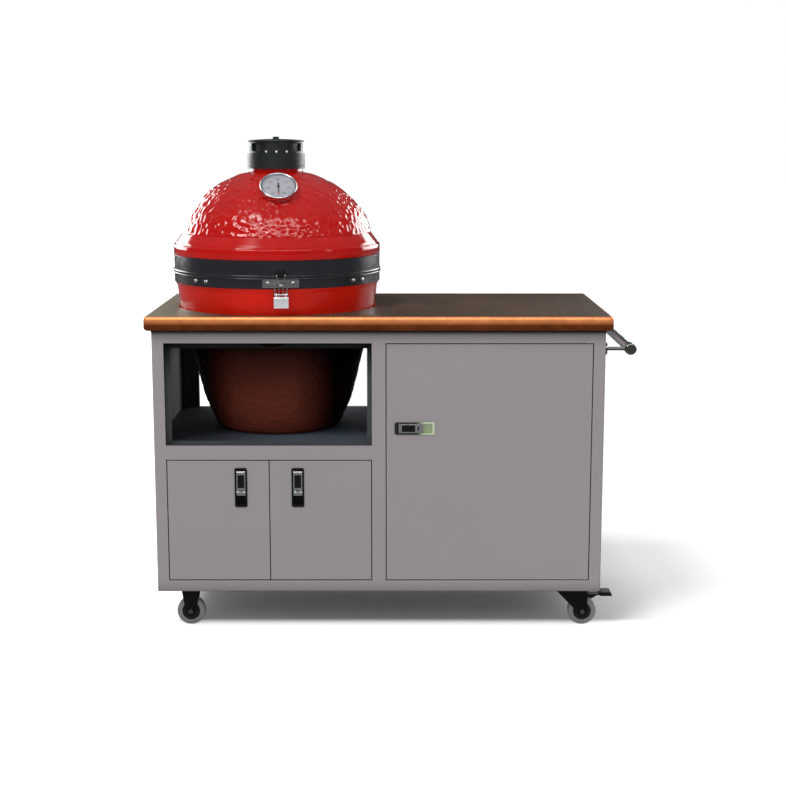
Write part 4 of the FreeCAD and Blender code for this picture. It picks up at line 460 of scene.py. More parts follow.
def make_finishes():
    cabinet, grill, hardware = settings("cabinet"), settings("grill"), settings("hardware")
    copper_finish()
    glaze_finish("Red glaze", grill.glaze, 0.42)
    # The dome's glaze, made brighter for the bowl as painted light.
    glaze_finish("Bowl glaze painted light", grill.lit_bowl_glaze, 0.36)
    glaze_finish("Painted shade glaze", grill.painted_shade_glaze, 0.05, GLAZE_SHADES)
    gauge_glass_finish()
    felt_finish()
    # The frame's coat is the powder coat with painted shade and shadow.
    for name, shades in (("Powder coat", ()), ("Frame coat painted shade", FRAME_SHADES)):
        coat_finish(name, cabinet.paint, 0.035, 2.2, (0.42, 0.52), 0.0011, 0.00025, coat=0.05, specular=0.3,
                    edge_wear_and_highlight=(0.0012, 0.25, (0.42, 0.40, 0.41)), shades=shades)
    coat_finish("Shelf coat", cabinet.lining, 0.18, 5.0, (0.55, 0.70), 0.0012, 0.0003, specular=0.12,
                shades=SHELF_SHADES)
    # A dark copy of the paint for the inside of the cabinet, as painted shade.
    coat_finish("Inner painted shade", (0.066, 0.070, 0.077), 0.08, 4.0, (0.55, 0.7), 0.0012, 0.0003, specular=0.2,
                shades=INNER_SHADES)
    coat_finish("Black coat", hardware.black, 0.25, 30.0, (0.35, 0.50), 0.0010, 0.0003, specular=0.2,
                edge_wear_and_highlight=(0.0010, 0.25, (0.06, 0.06, 0.063)))
    coat_finish("Cast black", (0.006, 0.013, 0.012), 0.25, 40.0, (0.34, 0.52), 0.0009, 0.0006, specular=0.35,
                edge_wear_and_highlight=(0.0010, 0.3, (0.06, 0.08, 0.075)))
    coat_finish("Band coat", (0.016, 0.015, 0.020), 0.15, 12.0, (0.16, 0.28), 0.0014, 0.0002, coat=0.2)
    # Black used as painted shade: the strip under the worktop and the gaps round the doors.
    coat_finish("Painted gap shade", (0.012, 0.012, 0.012), 0.15, 30.0, (0.70, 0.85), 0.0012, 0.0002, specular=0.1)
    coat_finish("Wheel rubber", hardware.rubber, 0.12, 40.0, (0.55, 0.70), 0.0010, 0.0003)
    coat_finish("Wheel hub", (0.02, 0.02, 0.022), 0.10, 40.0, (0.45, 0.60), 0.0012, 0.0002, specular=0.3)
    coat_finish("Core board", (0.42, 0.30, 0.18), 0.20, 12.0, (0.70, 0.90), 0.0020, 0.0006,
                stretch=(0.2, 2, 2))
    for row in PLAIN_COATS:
        coat_finish(*row)
    for row in METALS:
        coat_finish(*row, metallic=1.0)
    coat_finish("Polished steel", hardware.steel, 0.06, 30.0, (0.10, 0.20), 0.0030, 0.0001, metallic=1.0)
    # The right latch's case: a painted reflection of green surroundings, with painted shade on its left part.
    coat_finish("Latch chrome painted reflection", (0.62, 0.74, 0.50), 0.12, 60.0, (0.12, 0.24), 0.0020, 0.0001, metallic=0.4,
                shades=LATCH_SHADES)
    # For the lid latch lever: steel whose near-white, half-diffuse colour is partly its own brightness and
    # partly a painted reflection.
    coat_finish("Bright steel painted sheen", (0.86, 0.86, 0.87), 0.20, 300.0, (0.12, 0.24), 0.0020, 0.0002, metallic=0.45)
    coat_finish("Handle steel", (0.42, 0.44, 0.52), 0.08, 12.0, (0.18, 0.28), 0.0012, 0.0001, metallic=1.0,
                stretch=(8, 0.6, 8))
    coat_finish("Brushed steel", (0.50, 0.50, 0.51), 0.10, 30.0, (0.22, 0.36), 0.0010, 0.0002, metallic=1.0,
                stretch=(0.4, 6, 6))


# Mesh building

def add_piece(name, mesh, finish, body, replaces=()):
    """A new piece of the cart: its finish, the body it rides on and the frame pieces it stands for."""
    piece = bpy.data.objects.new(name, mesh)
    bpy.context.scene.collection.objects.link(piece)
    mesh.materials.clear()
    mesh.materials.append(bpy.data.materials[finish])
    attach(piece, body)
    if replaces:
        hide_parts(*replaces)
    return piece


def mesh_from(build, name, sharp=35.0):
    """A smooth mesh whose edges are sharp where it bends by more than the given degrees."""
    mesh = bpy.data.meshes.new(name)
    build.to_mesh(mesh)
    build.free()
    if "custom_normal" in mesh.attributes:
        mesh.attributes.remove(mesh.attributes["custom_normal"])
    mesh.shade_smooth()
    mesh.set_sharp_from_angle(angle=math.radians(sharp))
    return mesh


def add_built(name, build, finish, body, replaces=(), sharp=35.0):
    return add_piece(name, mesh_from(build, name, sharp), finish, body, replaces)


def node_build(node):
    """A frame piece's faces, welded, with its flat faces in one plane joined."""
    build = bmesh.new()
    build.from_mesh(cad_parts[node].data)
    bmesh.ops.remove_doubles(build, verts=build.verts, dist=0.00001)
    bmesh.ops.dissolve_limit(build, angle_limit=math.radians(0.5), verts=build.verts, edges=build.edges)
    return build


def faced(build):
    """Turns every face outwards."""
    bmesh.ops.recalc_face_normals(build, faces=build.faces)
    return build


def drop_loose_edges(build):
    bmesh.ops.delete(build, geom=[edge for edge in build.edges if not edge.link_faces], context="EDGES")


def apply_modifiers(piece):
    """Replaces the piece's mesh with what its modifiers make of it."""
    graph = bpy.context.evaluated_depsgraph_get()
    made = bpy.data.meshes.new_from_object(piece.evaluated_get(graph))
    old = piece.data
    piece.modifiers.clear()
    piece.data = made
    bpy.data.meshes.remove(old)


def clean(mesh):
    """Takes out faces without area and edges without a face."""
    build = bmesh.new()
    build.from_mesh(mesh)
    bmesh.ops.dissolve_degenerate(build, dist=0.000002, edges=build.edges)
    drop_loose_edges(build)
    build.to_mesh(mesh)
    build.free()


def shade_flat_faces(piece):
    """Keeps the large faces flat in shade beside rounded edges."""
    normals = piece.modifiers.new("Flat faces", "WEIGHTED_NORMAL")
    normals.keep_sharp = True
    apply_modifiers(piece)


def round_edges(piece, width, segments=2, angle=30.0):
    """Rounds every edge that bends by more than the given degrees."""
    bevel = piece.modifiers.new("Rounding", "BEVEL")
    bevel.width = width
    bevel.segments = segments
    bevel.limit_method = "ANGLE"
    bevel.angle_limit = math.radians(angle)
    bevel.use_clamp_overlap = True
    bevel.miter_outer = "MITER_ARC"
    split = piece.modifiers.new("Plain faces", "TRIANGULATE")
    split.min_vertices = 5
    apply_modifiers(piece)
    clean(piece.data)
    shade_flat_faces(piece)


def soften(node, name, finish, body, width, segments=2, prepare=None):
    """Stands for a frame piece with the same shape and rounded edges."""
    build = node_build(node)
    if prepare:
        prepare(build)
    piece = add_built(name, build, finish, body, (node,), sharp=40.0)
    round_edges(piece, width, segments)
    return piece


def soften_all(rows):
    """Rounds the edges of each row's frame piece. A row holds node, name, body, slot, finish and rounding."""
    for node, name, body, slot, finish, width in rows:
        soften(node, name, finish, body, width)


def dress(node, finish):
    """Gives a frame piece its finish."""
    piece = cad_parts[node]
    for place in piece.material_slots:
        place.material = bpy.data.materials[finish]


def refinish(piece, finish, chosen):
    """Gives another finish to the faces of a piece that are chosen."""
    piece.data.materials.append(bpy.data.materials[finish])
    last = len(piece.data.materials) - 1
    for face in piece.data.polygons:
        if chosen(face):
            face.material_index = last


def quarter(steps):
    """The angles of a quarter turn, in even steps."""
    return [math.radians(90.0 * k / steps) for k in range(steps + 1)]


def lathe(outline, steps, place, shift=None, closed=True):
    """Turns (radius, height) points about Z and sets them in place.

    shift gives how far a point moves along its normal.
    """
    build = bmesh.new()
    rings = []
    for k in range(steps):
        angle = 2 * math.pi * k / steps
        across, along = math.cos(angle), math.sin(angle)
        rings.append([build.verts.new((reach * across, reach * along, height)) for reach, height in outline])
    count = len(outline)
    last = count if closed else count - 1
    for k in range(steps):
        here, there = rings[k], rings[(k + 1) % steps]
        for i in range(last):
            j = (i + 1) % count
            build.faces.new((here[i], there[i], there[j], here[j]))
    bmesh.ops.remove_doubles(build, verts=build.verts, dist=0.000001)
    faced(build).normal_update()
    if shift:
        moves = [vert.normal * shift(vert.co) for vert in build.verts]
        for vert, move in zip(build.verts, moves):
            vert.co += move
    build.transform(place)
    return build


def prism(build, points, place, low, high):
    """A flat outline drawn out between two heights along its place's Z."""
    bottom = [build.verts.new(place @ Vector((x, y, low))) for x, y in points]
    top = [build.verts.new(place @ Vector((x, y, high))) for x, y in points]
    build.faces.new(list(reversed(bottom)))
    build.faces.new(top)
    for i in range(len(points)):
        j = (i + 1) % len(points)
        build.faces.new((bottom[i], bottom[j], top[j], top[i]))


def through(points, step):
    """Points about a step apart on the smooth curve through the given ones."""
    ends = [2 * Vector(points[0]) - Vector(points[1])] + [Vector(p) for p in points]
    ends.append(2 * Vector(points[-1]) - Vector(points[-2]))
    found = []
    for k in range(1, len(ends) - 2):
        a, b, c, d = ends[k - 1:k + 3]
        count = max(1, round((c - b).length / step))
        for i in range(count):
            t = i / count
            found.append(0.5 * (2 * b + (c - a) * t + (2 * a - 5 * b + 4 * c - d) * t ** 2
                                + (3 * b - a - 3 * c + d) * t ** 3))
    found.append(ends[-2])
    return [(p.x, p.y) for p in found]


def straight(start, end, step):
    """Points about a step apart from the start to shortly before the end."""
    a, b = Vector(start), Vector(end)
    count = max(1, round((b - a).length / step))
    return [tuple(a.lerp(b, k / count)) for k in range(count)]


DIMPLE_FADE = 0.006
DIMPLE_STEEPNESS = 1.9
DIMPLE_LEVEL = 0.45


def dimples(size, depth, low, high):
    """The shift of the glaze's hammered texture between two heights: round pits that meet at soft ridges."""
    def shift(place):
        fade = min(1.0, max(0.0, (place.z - low) / DIMPLE_FADE), max(0.0, (high - place.z) / DIMPLE_FADE))
        if fade <= 0.0:
            return 0.0
        nearest = noise.voronoi(place / size)[0][0]
        rise = min(nearest * nearest * DIMPLE_STEEPNESS, 1.0)
        return depth * fade * (rise - DIMPLE_LEVEL)
    return shift


class GRILLCART_OT_finishes(bpy.types.Operator):
    """Makes every finish of the cart, from powder coat to glaze"""
    bl_idname = "grillcart.finishes"
    bl_label = "Make Finishes"

    def execute(self, context):
        make_blotches_group()
        make_grain_group()
        make_edge_wear_group()
        make_place_shade_group()
        make_finishes()
        return {"FINISHED"}


# The worktop

TOP_CORNER = 0.014
LEAST_CORNER = 0.0005
CORNER_STEPS = 8
EDGE_STEPS = (760, 40, 80, 40)
TOP_SHEET = 0.0015
TOP_RETURN = 0.012
CRIMP_WIDTH = 0.0022
# The first pair of crimps stands this many spacings from the left end. Each crimp has a place and a share.
CRIMP_START = 0.91
CRIMP_PAIR = ((0.0025, 1.0), (-0.0035, 0.7))
CRIMP_REACH = 0.012
CRIMP_FADE = 0.008
CUTOUT_RADIUS = 0.2717
CUTOUT_STEPS = 192
CUTOUT_ROLL = 0.0025
# A thin black strip under the worktop, a painted shadow under its overhang.
SHADOW_STRIP_PROUD = 0.0003
SHADOW_STRIP_THICK = 0.001
SHADOW_STRIP_HEIGHT = 0.0055


def rounded_loop(inset):
    """Points round the worktop's outline, moved inwards. The front edge has its own fine steps."""
    middle = (TOP_LOW + TOP_HIGH) / 2
    half_x = (TOP_HIGH.x - TOP_LOW.x) / 2 - inset
    half_y = (TOP_HIGH.y - TOP_LOW.y) / 2 - inset
    radius = max(TOP_CORNER - inset, LEAST_CORNER)
    corners = [(-half_x + radius, -half_y + radius, 180), (half_x - radius, -half_y + radius, 270),
               (half_x - radius, half_y - radius, 0), (-half_x + radius, half_y - radius, 90)]

    def on_corner(corner, turn):
        x, y, first = corner
        angle = math.radians(first + turn)
        return middle.x + x + radius * math.cos(angle), middle.y + y + radius * math.sin(angle)

    points = []
    for k, corner in enumerate(corners):
        points += [on_corner(corner, 90.0 * i / CORNER_STEPS) for i in range(CORNER_STEPS + 1)]
        start, end = Vector(points[-1]), Vector(on_corner(corners[(k + 1) % 4], 0.0))
        points += [tuple(start.lerp(end, i / EDGE_STEPS[k])) for i in range(1, EDGE_STEPS[k])]
    return points


def crimp_shift(x, given):
    """How far the front edge is pressed in at a place along it, by pairs of narrow crimps."""
    phase = (x - TOP_LOW.x - CRIMP_START * given.crimp_spacing) / given.crimp_spacing
    away = (phase - round(phase)) * given.crimp_spacing
    pair = sum(share * math.exp(-((away - at) / CRIMP_WIDTH) ** 2) for at, share in CRIMP_PAIR)
    return given.crimp_depth * pair


def edge_loops(build, given):
    """The sheet's outer edge, from its rounding at the top to the folded return."""
    radius, high, low = given.edge_radius, TOP_HIGH.z, TOP_LOW.z
    turns = [(radius * math.sin(angle), radius * math.cos(angle)) for angle in quarter(8)]
    profile = [(radius - up, high - radius + out) for up, out in turns]
    profile += [(radius - out, low + radius - up) for up, out in turns]
    profile += [(TOP_RETURN, low), (TOP_RETURN, low + TOP_SHEET)]
    loops = []
    for inset, height in profile:
        loop = []
        for x, y in rounded_loop(inset):
            front = max(0.0, min(1.0, (TOP_LOW.y + CRIMP_REACH - y) / CRIMP_FADE))
            loop.append(build.verts.new((x, y + crimp_shift(x, given) * front, height)))
        loops.append(loop)
    for upper, lower in zip(loops, loops[1:]):
        for i in range(len(upper)):
            j = (i + 1) % len(upper)
            build.faces.new((upper[i], lower[i], lower[j], upper[j]))
    return loops


def cutout_rings(build):
    """The sheet's inner edge, rolled down through the round cutout."""
    high, low = TOP_HIGH.z, TOP_LOW.z
    lining = [(CUTOUT_RADIUS + CUTOUT_ROLL, high)]
    lining += [(CUTOUT_RADIUS + CUTOUT_ROLL * (1 - math.sin(angle)),
                high - CUTOUT_ROLL * (1 - math.cos(angle))) for angle in quarter(5)[1:]]
    lining += [(CUTOUT_RADIUS, low), (CUTOUT_RADIUS + TOP_SHEET, low)]
    rings = []
    for reach, height in lining:
        ring = []
        for k in range(CUTOUT_STEPS):
            angle = 2 * math.pi * k / CUTOUT_STEPS
            x, y = GRILL_AXIS.x + reach * math.cos(angle), GRILL_AXIS.y + reach * math.sin(angle)
            ring.append(build.verts.new((x, y, height)))
        rings.append(ring)
    for upper, lower in zip(rings, rings[1:]):
        for i in range(CUTOUT_STEPS):
            j = (i + 1) % CUTOUT_STEPS
            build.faces.new((upper[j], lower[j], lower[i], upper[i]))
    return rings


def worktop_sheet(given):
    """The copper sheet: a flat top with the cutout, rounded edges with crimp marks, and a folded return."""
    build = bmesh.new()
    outer, inner = edge_loops(build, given)[0], cutout_rings(build)[0]
    edges = [build.edges.get((loop[i], loop[(i + 1) % len(loop)])) for loop in (outer, inner)
             for i in range(len(loop))]
    bmesh.ops.triangle_fill(build, use_beauty=True, use_dissolve=False, edges=edges, normal=UP)
    return faced(build)


def shadow_strip():
    """A thin black strip under the worktop's front edge and its two ends, a painted shadow under the
    overhang.
    """
    left, right, front, back = FACE_LOW.x, FACE_HIGH.x, FACE_LOW.y, FACE_HIGH.y
    points = [(left - SHADOW_STRIP_PROUD, back), (left - SHADOW_STRIP_PROUD, front - SHADOW_STRIP_PROUD),
              (right + SHADOW_STRIP_PROUD, front - SHADOW_STRIP_PROUD), (right + SHADOW_STRIP_PROUD, back),
              (right - SHADOW_STRIP_THICK, back), (right - SHADOW_STRIP_THICK, front + SHADOW_STRIP_THICK),
              (left + SHADOW_STRIP_THICK, front + SHADOW_STRIP_THICK), (left + SHADOW_STRIP_THICK, back)]
    build = bmesh.new()
    prism(build, points, Matrix(), TOP_LOW.z - SHADOW_STRIP_HEIGHT, TOP_LOW.z)
    return faced(build)


class GRILLCART_OT_worktop(bpy.types.Operator):
    """Builds the copper sheet of the worktop, the black strip of painted shadow under it, and finishes the
    board under it
    """
    bl_idname = "grillcart.worktop"
    bl_label = "Build Worktop"

    def execute(self, context):
        sheet = worktop_sheet(settings("worktop"))
        shade_flat_faces(add_built("worktop_sheet", sheet, "Aged copper", "cart",
                                   ("worktop_skin",), sharp=40.0))
        dress("worktop_core", "Core board")
        add_built("worktop_shadow_strip", shadow_strip(), "Painted gap shade", "cart")
        return {"FINISHED"}


# The cabinet

# Node, finish and slot. A new sheet of the cabinet stands for each node.
CABINET_PIECES = (
    ("side_panel_left", "Powder coat", "powder_coat"),
    ("side_panel_right", "Powder coat", "powder_coat"),
    ("rear_panel", "Powder coat", "powder_coat"),
    # The inside panels and shelves have the paint's dark copy, as painted shade.
    ("bottom_panel", "Inner painted shade", "inner_coat"),
    ("centre_divider", "Inner painted shade", "inner_coat"),
    ("storage_shelf", "Inner painted shade", "inner_coat"),
    ("grill_shelf", "Shelf coat", "shelf_plate"),
)
PANEL_FOLD = 0.6
BAY_RIGHT, BAY_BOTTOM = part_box("door_right")[0].x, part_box("door_lower_left")[1].z
FRAME_SIDE = 0.004
# Faces of the frame behind this depth get painted shade.
INNER_SHADE_FROM = 0.0035
# The frame's faces in the gaps round the doors are painted black as shade, from this depth and within this
# reach of the gap.
GAP_SHADE_FROM = 0.0012
GAP_SHADE_REACH = 0.008
RIVET_RADIUS = 0.0032
RIVET_RISE = 0.0011
RIVET_SUNK = 0.0003
RIVET_SIDES = 16
RIVET_SPACING = 0.115
RIVET_INSET = 0.014


def looks_in(face):
    """Whether a panel's face looks into the cabinet."""
    middle_x = (CAD_BOUNDS[0].x + CAD_BOUNDS[1].x) / 2
    across = face.normal.x * (face.center.x - middle_x)
    return across < -0.01 or face.normal.y < -0.5 and face.center.y > FACE_HIGH.y


def inside_frame(face, depth=INNER_SHADE_FROM):
    """Whether a face of the folded frame lies between its sides and behind a depth."""
    between = FACE_LOW.x + FRAME_SIDE < face.center.x < FACE_HIGH.x - FRAME_SIDE
    return face.center.y > FACE_LOW.y + depth and between


def beside_door(face):
    """Whether a face of the folded frame looks into the gap round a door."""
    near = face.center.x > BAY_RIGHT - GAP_SHADE_REACH or face.center.z < BAY_BOTTOM + GAP_SHADE_REACH
    return inside_frame(face, GAP_SHADE_FROM) and abs(face.normal.y) < 0.5 and near


def round_front_corners(build):
    """Rounds the two upright front corners of the folded frame."""
    edges = []
    for edge in build.edges:
        ends = [vert.co for vert in edge.verts]
        at_front = all(abs(p.y - FACE_LOW.y) < 0.0001 for p in ends)
        at_side = all(min(abs(p.x - FACE_LOW.x), abs(p.x - FACE_HIGH.x)) < 0.0001 for p in ends)
        if at_front and at_side:
            edges.append(edge)
    bmesh.ops.bevel(build, geom=edges, offset=settings("cabinet").corner_radius, segments=5, profile=0.5,
                    affect="EDGES")


def rivet_head(build, place, outward):
    """A low domed rivet head."""
    outline = [(0.0, RIVET_RISE)]
    outline += [(RIVET_RADIUS * math.sin(angle), RIVET_RISE * math.cos(angle)) for angle in quarter(4)[1:]]
    outline.append((RIVET_RADIUS, -RIVET_SUNK))
    turn = outward.to_track_quat("Z", "Y").to_matrix().to_4x4()
    head = lathe(outline, RIVET_SIDES, Matrix.Translation(place) @ turn, closed=False)
    mesh = bpy.data.meshes.new("head")
    head.to_mesh(mesh)
    head.free()
    build.from_mesh(mesh)
    bpy.data.meshes.remove(mesh)


def rivet_places(start, end):
    count = round((end - start) / RIVET_SPACING)
    return [start + RIVET_INSET + (end - start - 2 * RIVET_INSET) * k / count for k in range(count + 1)]


def rivet_rows():
    """Rivets round the rear panel and down both edges of each side panel."""
    build = bmesh.new()
    low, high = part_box("rear_panel")
    levels = rivet_places(low.z, high.z)
    foot_and_head = (low.z + RIVET_INSET, high.z - RIVET_INSET)
    sides = (low.x + RIVET_INSET, high.x - RIVET_INSET)
    places = [(x, z) for x in rivet_places(low.x, high.x) for z in foot_and_head]
    places += [(x, z) for z in levels[1:-1] for x in sides]
    for x, z in places:
        rivet_head(build, (x, high.y, z), Vector((0, 1, 0)))
    for node, out in (("side_panel_left", -1), ("side_panel_right", 1)):
        side_low, side_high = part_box(node)
        x = side_low.x if out < 0 else side_high.x
        for z in levels:
            for y in (side_low.y + RIVET_INSET, side_high.y - RIVET_INSET):
                rivet_head(build, (x, y, z), Vector((out, 0, 0)))
    return build


class GRILLCART_OT_cabinet(bpy.types.Operator):
    """Builds the folded frame, the panels, the shelves and their rivets"""
    bl_idname = "grillcart.cabinet"
    bl_label = "Build Cabinet"

    def execute(self, context):
        fold = settings("cabinet").fold_radius
        # The face frame's coat carries painted shade and shadow.
        front = soften("face_frame", "front_frame", "Frame coat painted shade", "cart", fold,
                       prepare=round_front_corners)
        # Painted shade on the frame's faces inside the bay.
        refinish(front, "Inner painted shade", inside_frame)
        # Black painted shade on the frame's faces in the gaps round the doors.
        refinish(front, "Painted gap shade", beside_door)
        for node, finish, slot in CABINET_PIECES:
            sheet = soften(node, node + "_sheet", finish, "cart", fold * PANEL_FOLD)
            # Faces of a panel that look into the cabinet get painted shade.
            if finish == "Powder coat":
                refinish(sheet, "Inner painted shade", looks_in)
        add_built("panel_rivets", rivet_rows(), "Powder coat", "cart")
        return {"FINISHED"}


# Doors and their latches

LATCH_FINISH = {"lower_left": "Black coat", "lower_right": "Black coat", "right": "Latch chrome painted reflection"}
DOOR_FOLD = 0.8
# The dark inlays of a latch: how far up from its middle, half the height and half the width.
LATCH_INLAYS = ((0.0165, 0.0175, 0.0088), (-0.0105, 0.0028, 0.0052))
LATCH_INLAY_THICK = 0.0012
LATCH_INLAY_PROUD = 0.0004
PADDLE_SET_BACK = 0.0005
CASE_ROUNDING, GRIP_ROUNDING, INLAY_ROUNDING = 0.0005, 0.0004, 0.0003
# A door's side faces behind this depth, and within it of an edge, are painted black as shade in the gap.
GAP_SHADE_EDGE = 0.0012
PLATE_FACES = ((0, 1, 2, 3), (7, 6, 5, 4), (0, 4, 5, 1), (1, 5, 6, 2), (2, 6, 7, 3), (3, 7, 4, 0))


def latch_axes(place):
    """The middle of a door's latch, the depth of its front, and the directions up and across it."""
    low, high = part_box("latch_housing_" + place)
    up, across = (Vector((-1, 0, 0)), Vector(UP)) if place == "right" else (Vector(UP), Vector(RIGHT))
    return (low + high) / 2, low.y, up, across


def latch_inlays(place):
    """The dark panel between the paddle's side rails and the dark pull below it."""
    middle, front, up, across = latch_axes(place)
    build = bmesh.new()
    face = front + PADDLE_SET_BACK - LATCH_INLAY_PROUD
    for rise, half_up, half_across in LATCH_INLAYS:
        centre = middle + up * rise
        corners = []
        for depth in (face, face + LATCH_INLAY_THICK):
            for a, b in ((-1, -1), (1, -1), (1, 1), (-1, 1)):
                point = Vector((centre.x, depth, centre.z)) + across * (a * half_across) + up * (b * half_up)
                corners.append(build.verts.new(point))
        for ends in PLATE_FACES:
            build.faces.new([corners[i] for i in ends])
    return faced(build)


def paint_gap_shade(piece, node):
    """Paints a door's narrow side faces black, as painted shade in the gap round the door."""
    low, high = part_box(node)
    refinish(piece, "Painted gap shade", lambda face: face.center.y > low.y + GAP_SHADE_EDGE
             and min(face.center.x - low.x, high.x - face.center.x, face.center.z - low.z,
                     high.z - face.center.z) < GAP_SHADE_EDGE)


class GRILLCART_OT_doors(bpy.types.Operator):
    """Builds the three door pans, their latches and their pivot pins"""
    bl_idname = "grillcart.doors"
    bl_label = "Build Doors"

    def execute(self, context):
        fold = settings("cabinet").fold_radius
        for place, latch_finish in LATCH_FINISH.items():
            node = "door_" + place
            body = "door " + place.replace("_", " ")
            pan = soften(node, "door_pan_" + place, "Powder coat", body, fold * DOOR_FOLD)
            paint_gap_shade(pan, node)
            soften("latch_housing_" + place, "latch_case_" + place, latch_finish, body,
                   CASE_ROUNDING)
            body = "latch paddle " + place.replace("_", " ")
            soften("latch_paddle_" + place, "latch_grip_" + place, "Polished steel", body,
                   GRIP_ROUNDING)
            inlay = add_built("latch_inlay_" + place, latch_inlays(place), "Black coat", body)
            round_edges(inlay, INLAY_ROUNDING)
        dress("door_pivot_pins", "Zinc plate")
        return {"FINISHED"}


# Push handle and casters

HANDLE_WALL = 0.002
HANDLE_LIP = 0.0005
HANDLE_SIDES = 64
SOCKET_ROUNDING = 0.0008


def handle_outline(radius, length):
    """The tube's section from end to end, with its lips rounded."""
    half, inner, lip = length / 2, radius - HANDLE_WALL, HANDLE_LIP
    return [(inner, -half + lip), (inner + lip, -half), (radius - lip, -half), (radius, -half + lip),
            (radius, half - lip), (radius - lip, half), (inner + lip, half), (inner, half - lip)]


def along_y(node):
    """A place in a frame piece's middle whose Z runs along the cart's depth."""
    low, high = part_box(node)
    return Matrix.Translation((low + high) / 2) @ Matrix.Rotation(math.radians(-90.0), 4, "X")


class GRILLCART_OT_handle(bpy.types.Operator):
    """Builds the push handle's tube and its two socket brackets"""
    bl_idname = "grillcart.handle"
    bl_label = "Build Handle"

    def execute(self, context):
        low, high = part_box("handle_bar")
        outline = handle_outline((high.z - low.z) / 2, high.y - low.y)
        bar = lathe(outline, HANDLE_SIDES, along_y("handle_bar"))
        add_built("push_bar", bar, "Handle steel", "cart", ("handle_bar",))
        soften("handle_brackets", "push_bar_sockets", "Dark chrome", "cart", SOCKET_ROUNDING)
        return {"FINISHED"}


TYRE_SIDES = 96
TYRE_FACE = 0.0135
TYRE_SHOULDER = 0.005
TYRE_INNER = 0.0245
TYRE_GROOVES = (-0.0045, 0.0045)
GROOVE_HALF = 0.0008
GROOVE_DEPTH = 0.0006
HUB_SIDES = 72
HUB_BORE = 0.00405
HUB_RING = 0.0130
HUB_DISH = 0.0040
BOLT_ROUNDING = 0.0005


def tyre_outline(radius):
    """The rubber tread with its rounded shoulders and two fine grooves."""
    flat = TYRE_FACE - TYRE_SHOULDER
    arc = [(radius - TYRE_SHOULDER * (1 - math.sin(angle)), flat + TYRE_SHOULDER * math.cos(angle))
           for angle in quarter(6)]
    points = [(TYRE_INNER, -TYRE_FACE)] + [(r, -h) for r, h in arc]
    for groove in TYRE_GROOVES:
        points += [(radius, groove - GROOVE_HALF), (radius - GROOVE_DEPTH, groove),
                   (radius, groove + GROOVE_HALF)]
    return points + arc[::-1] + [(TYRE_INNER, TYRE_FACE)]


def hub_outline():
    """The dished wheel centre with a raised boss round the axle."""
    right = [(HUB_BORE, TYRE_FACE - 0.0002), (HUB_RING - 0.001, TYRE_FACE - 0.0002),
             (HUB_RING, TYRE_FACE - 0.0012), (HUB_RING + 0.0015, TYRE_FACE - HUB_DISH),
             (TYRE_INNER - 0.002, TYRE_FACE - HUB_DISH), (TYRE_INNER - 0.0004, TYRE_FACE - 0.0008),
             (TYRE_INNER, TYRE_FACE - 0.0004)]
    return right + [(r, -h) for r, h in reversed(right)]


# Node, name, body, slot, finish and rounding
CASTER_PIECES = (
    ("rigid_brackets", "fixed_forks", "cart", "black_steel", "Black coat", 0.0006),
    ("rigid_axles", "fixed_axles", "cart", "zinc_steel", "Dark chrome", 0.0004),
    ("swivel_plates", "swivel_tops", "cart", "black_steel", "Black coat", 0.0006),
    ("swivel_fork_front", "turning_fork_front", "swivel front", "black_steel", "Black coat", 0.0006),
    ("swivel_fork_rear", "turning_fork_rear", "swivel rear", "black_steel", "Black coat", 0.0006),
    ("swivel_axle_front", "turning_axle_front", "swivel front", "zinc_steel", "Dark chrome", 0.0004),
    ("swivel_axle_rear", "turning_axle_rear", "swivel rear", "zinc_steel", "Dark chrome", 0.0004),
    ("brake_pedal_front", "foot_pedal_front", "brake pedal front", "black_steel", "Black coat", 0.0007),
    ("brake_pedal_rear", "foot_pedal_rear", "brake pedal rear", "black_steel", "Black coat", 0.0007),
)
WHEELS = ("rigid_wheel_front", "rigid_wheel_rear", "swivel_wheel_front", "swivel_wheel_rear")


class GRILLCART_OT_casters(bpy.types.Operator):
    """Builds the four casters with their wheels, forks, axles and brake pedals"""
    bl_idname = "grillcart.casters"
    bl_label = "Build Casters"

    def execute(self, context):
        soften_all(CASTER_PIECES)
        for node in WHEELS:
            low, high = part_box(node)
            body = node.replace("_", " ")
            tyre = lathe(tyre_outline((high.z - low.z) / 2), TYRE_SIDES, along_y(node))
            add_built(node + "_tyre", tyre, "Wheel rubber", body, (node,))
            hub = lathe(hub_outline(), HUB_SIDES, along_y(node))
            add_built(node + "_hub", hub, "Wheel hub", body)
        soften("bolts", "bolt_heads", "Zinc plate", "cart", BOLT_ROUNDING)
        return {"FINISHED"}


# The grill's two glazed shells

# Heights are measured from the bowl's foot, and those of the dome from its rim.
BOWL_CURVE = ((0.171, 0.009), (0.205, 0.089), (0.235, 0.211), (0.263, 0.305), (0.275, 0.396))
BOWL_WALL = 0.025
BOWL_FLOOR = 0.030
FOOT_RING = (0.134, 0.160, 0.006)  # inner radius, outer radius, height of the hollow inside
RIM_RADIUS = 0.279
RIM_SEAT = 0.402
RIM_HEIGHT = 0.4345
RIM_ROUNDING = 0.002
DOME_BASE = 0.4374
DOME_CURVE = ((0.2743, 0.078), (0.2585, 0.099), (0.240, 0.149), (0.206, 0.190), (0.163, 0.225),
              (0.110, 0.251), (0.072, 0.263))
CROWN_FOOT = DOME_CURVE[1][1]
NECK_RADIUS, NECK_FOOT = DOME_CURVE[-1]
DOME_CENTRE = 0.019
DOME_WALL = 0.022
DOME_LIP = (0.2826, 0.0425, 0.071)  # radius, lowest and highest level
LIP_RIDGE = 0.003
THROAT_RADIUS = 0.058
NECK_HEIGHT = 0.009
TEXTURE_STEP = 0.0022
SMOOTH_STEP = 0.008
TEXTURE_PROUD = 0.0012
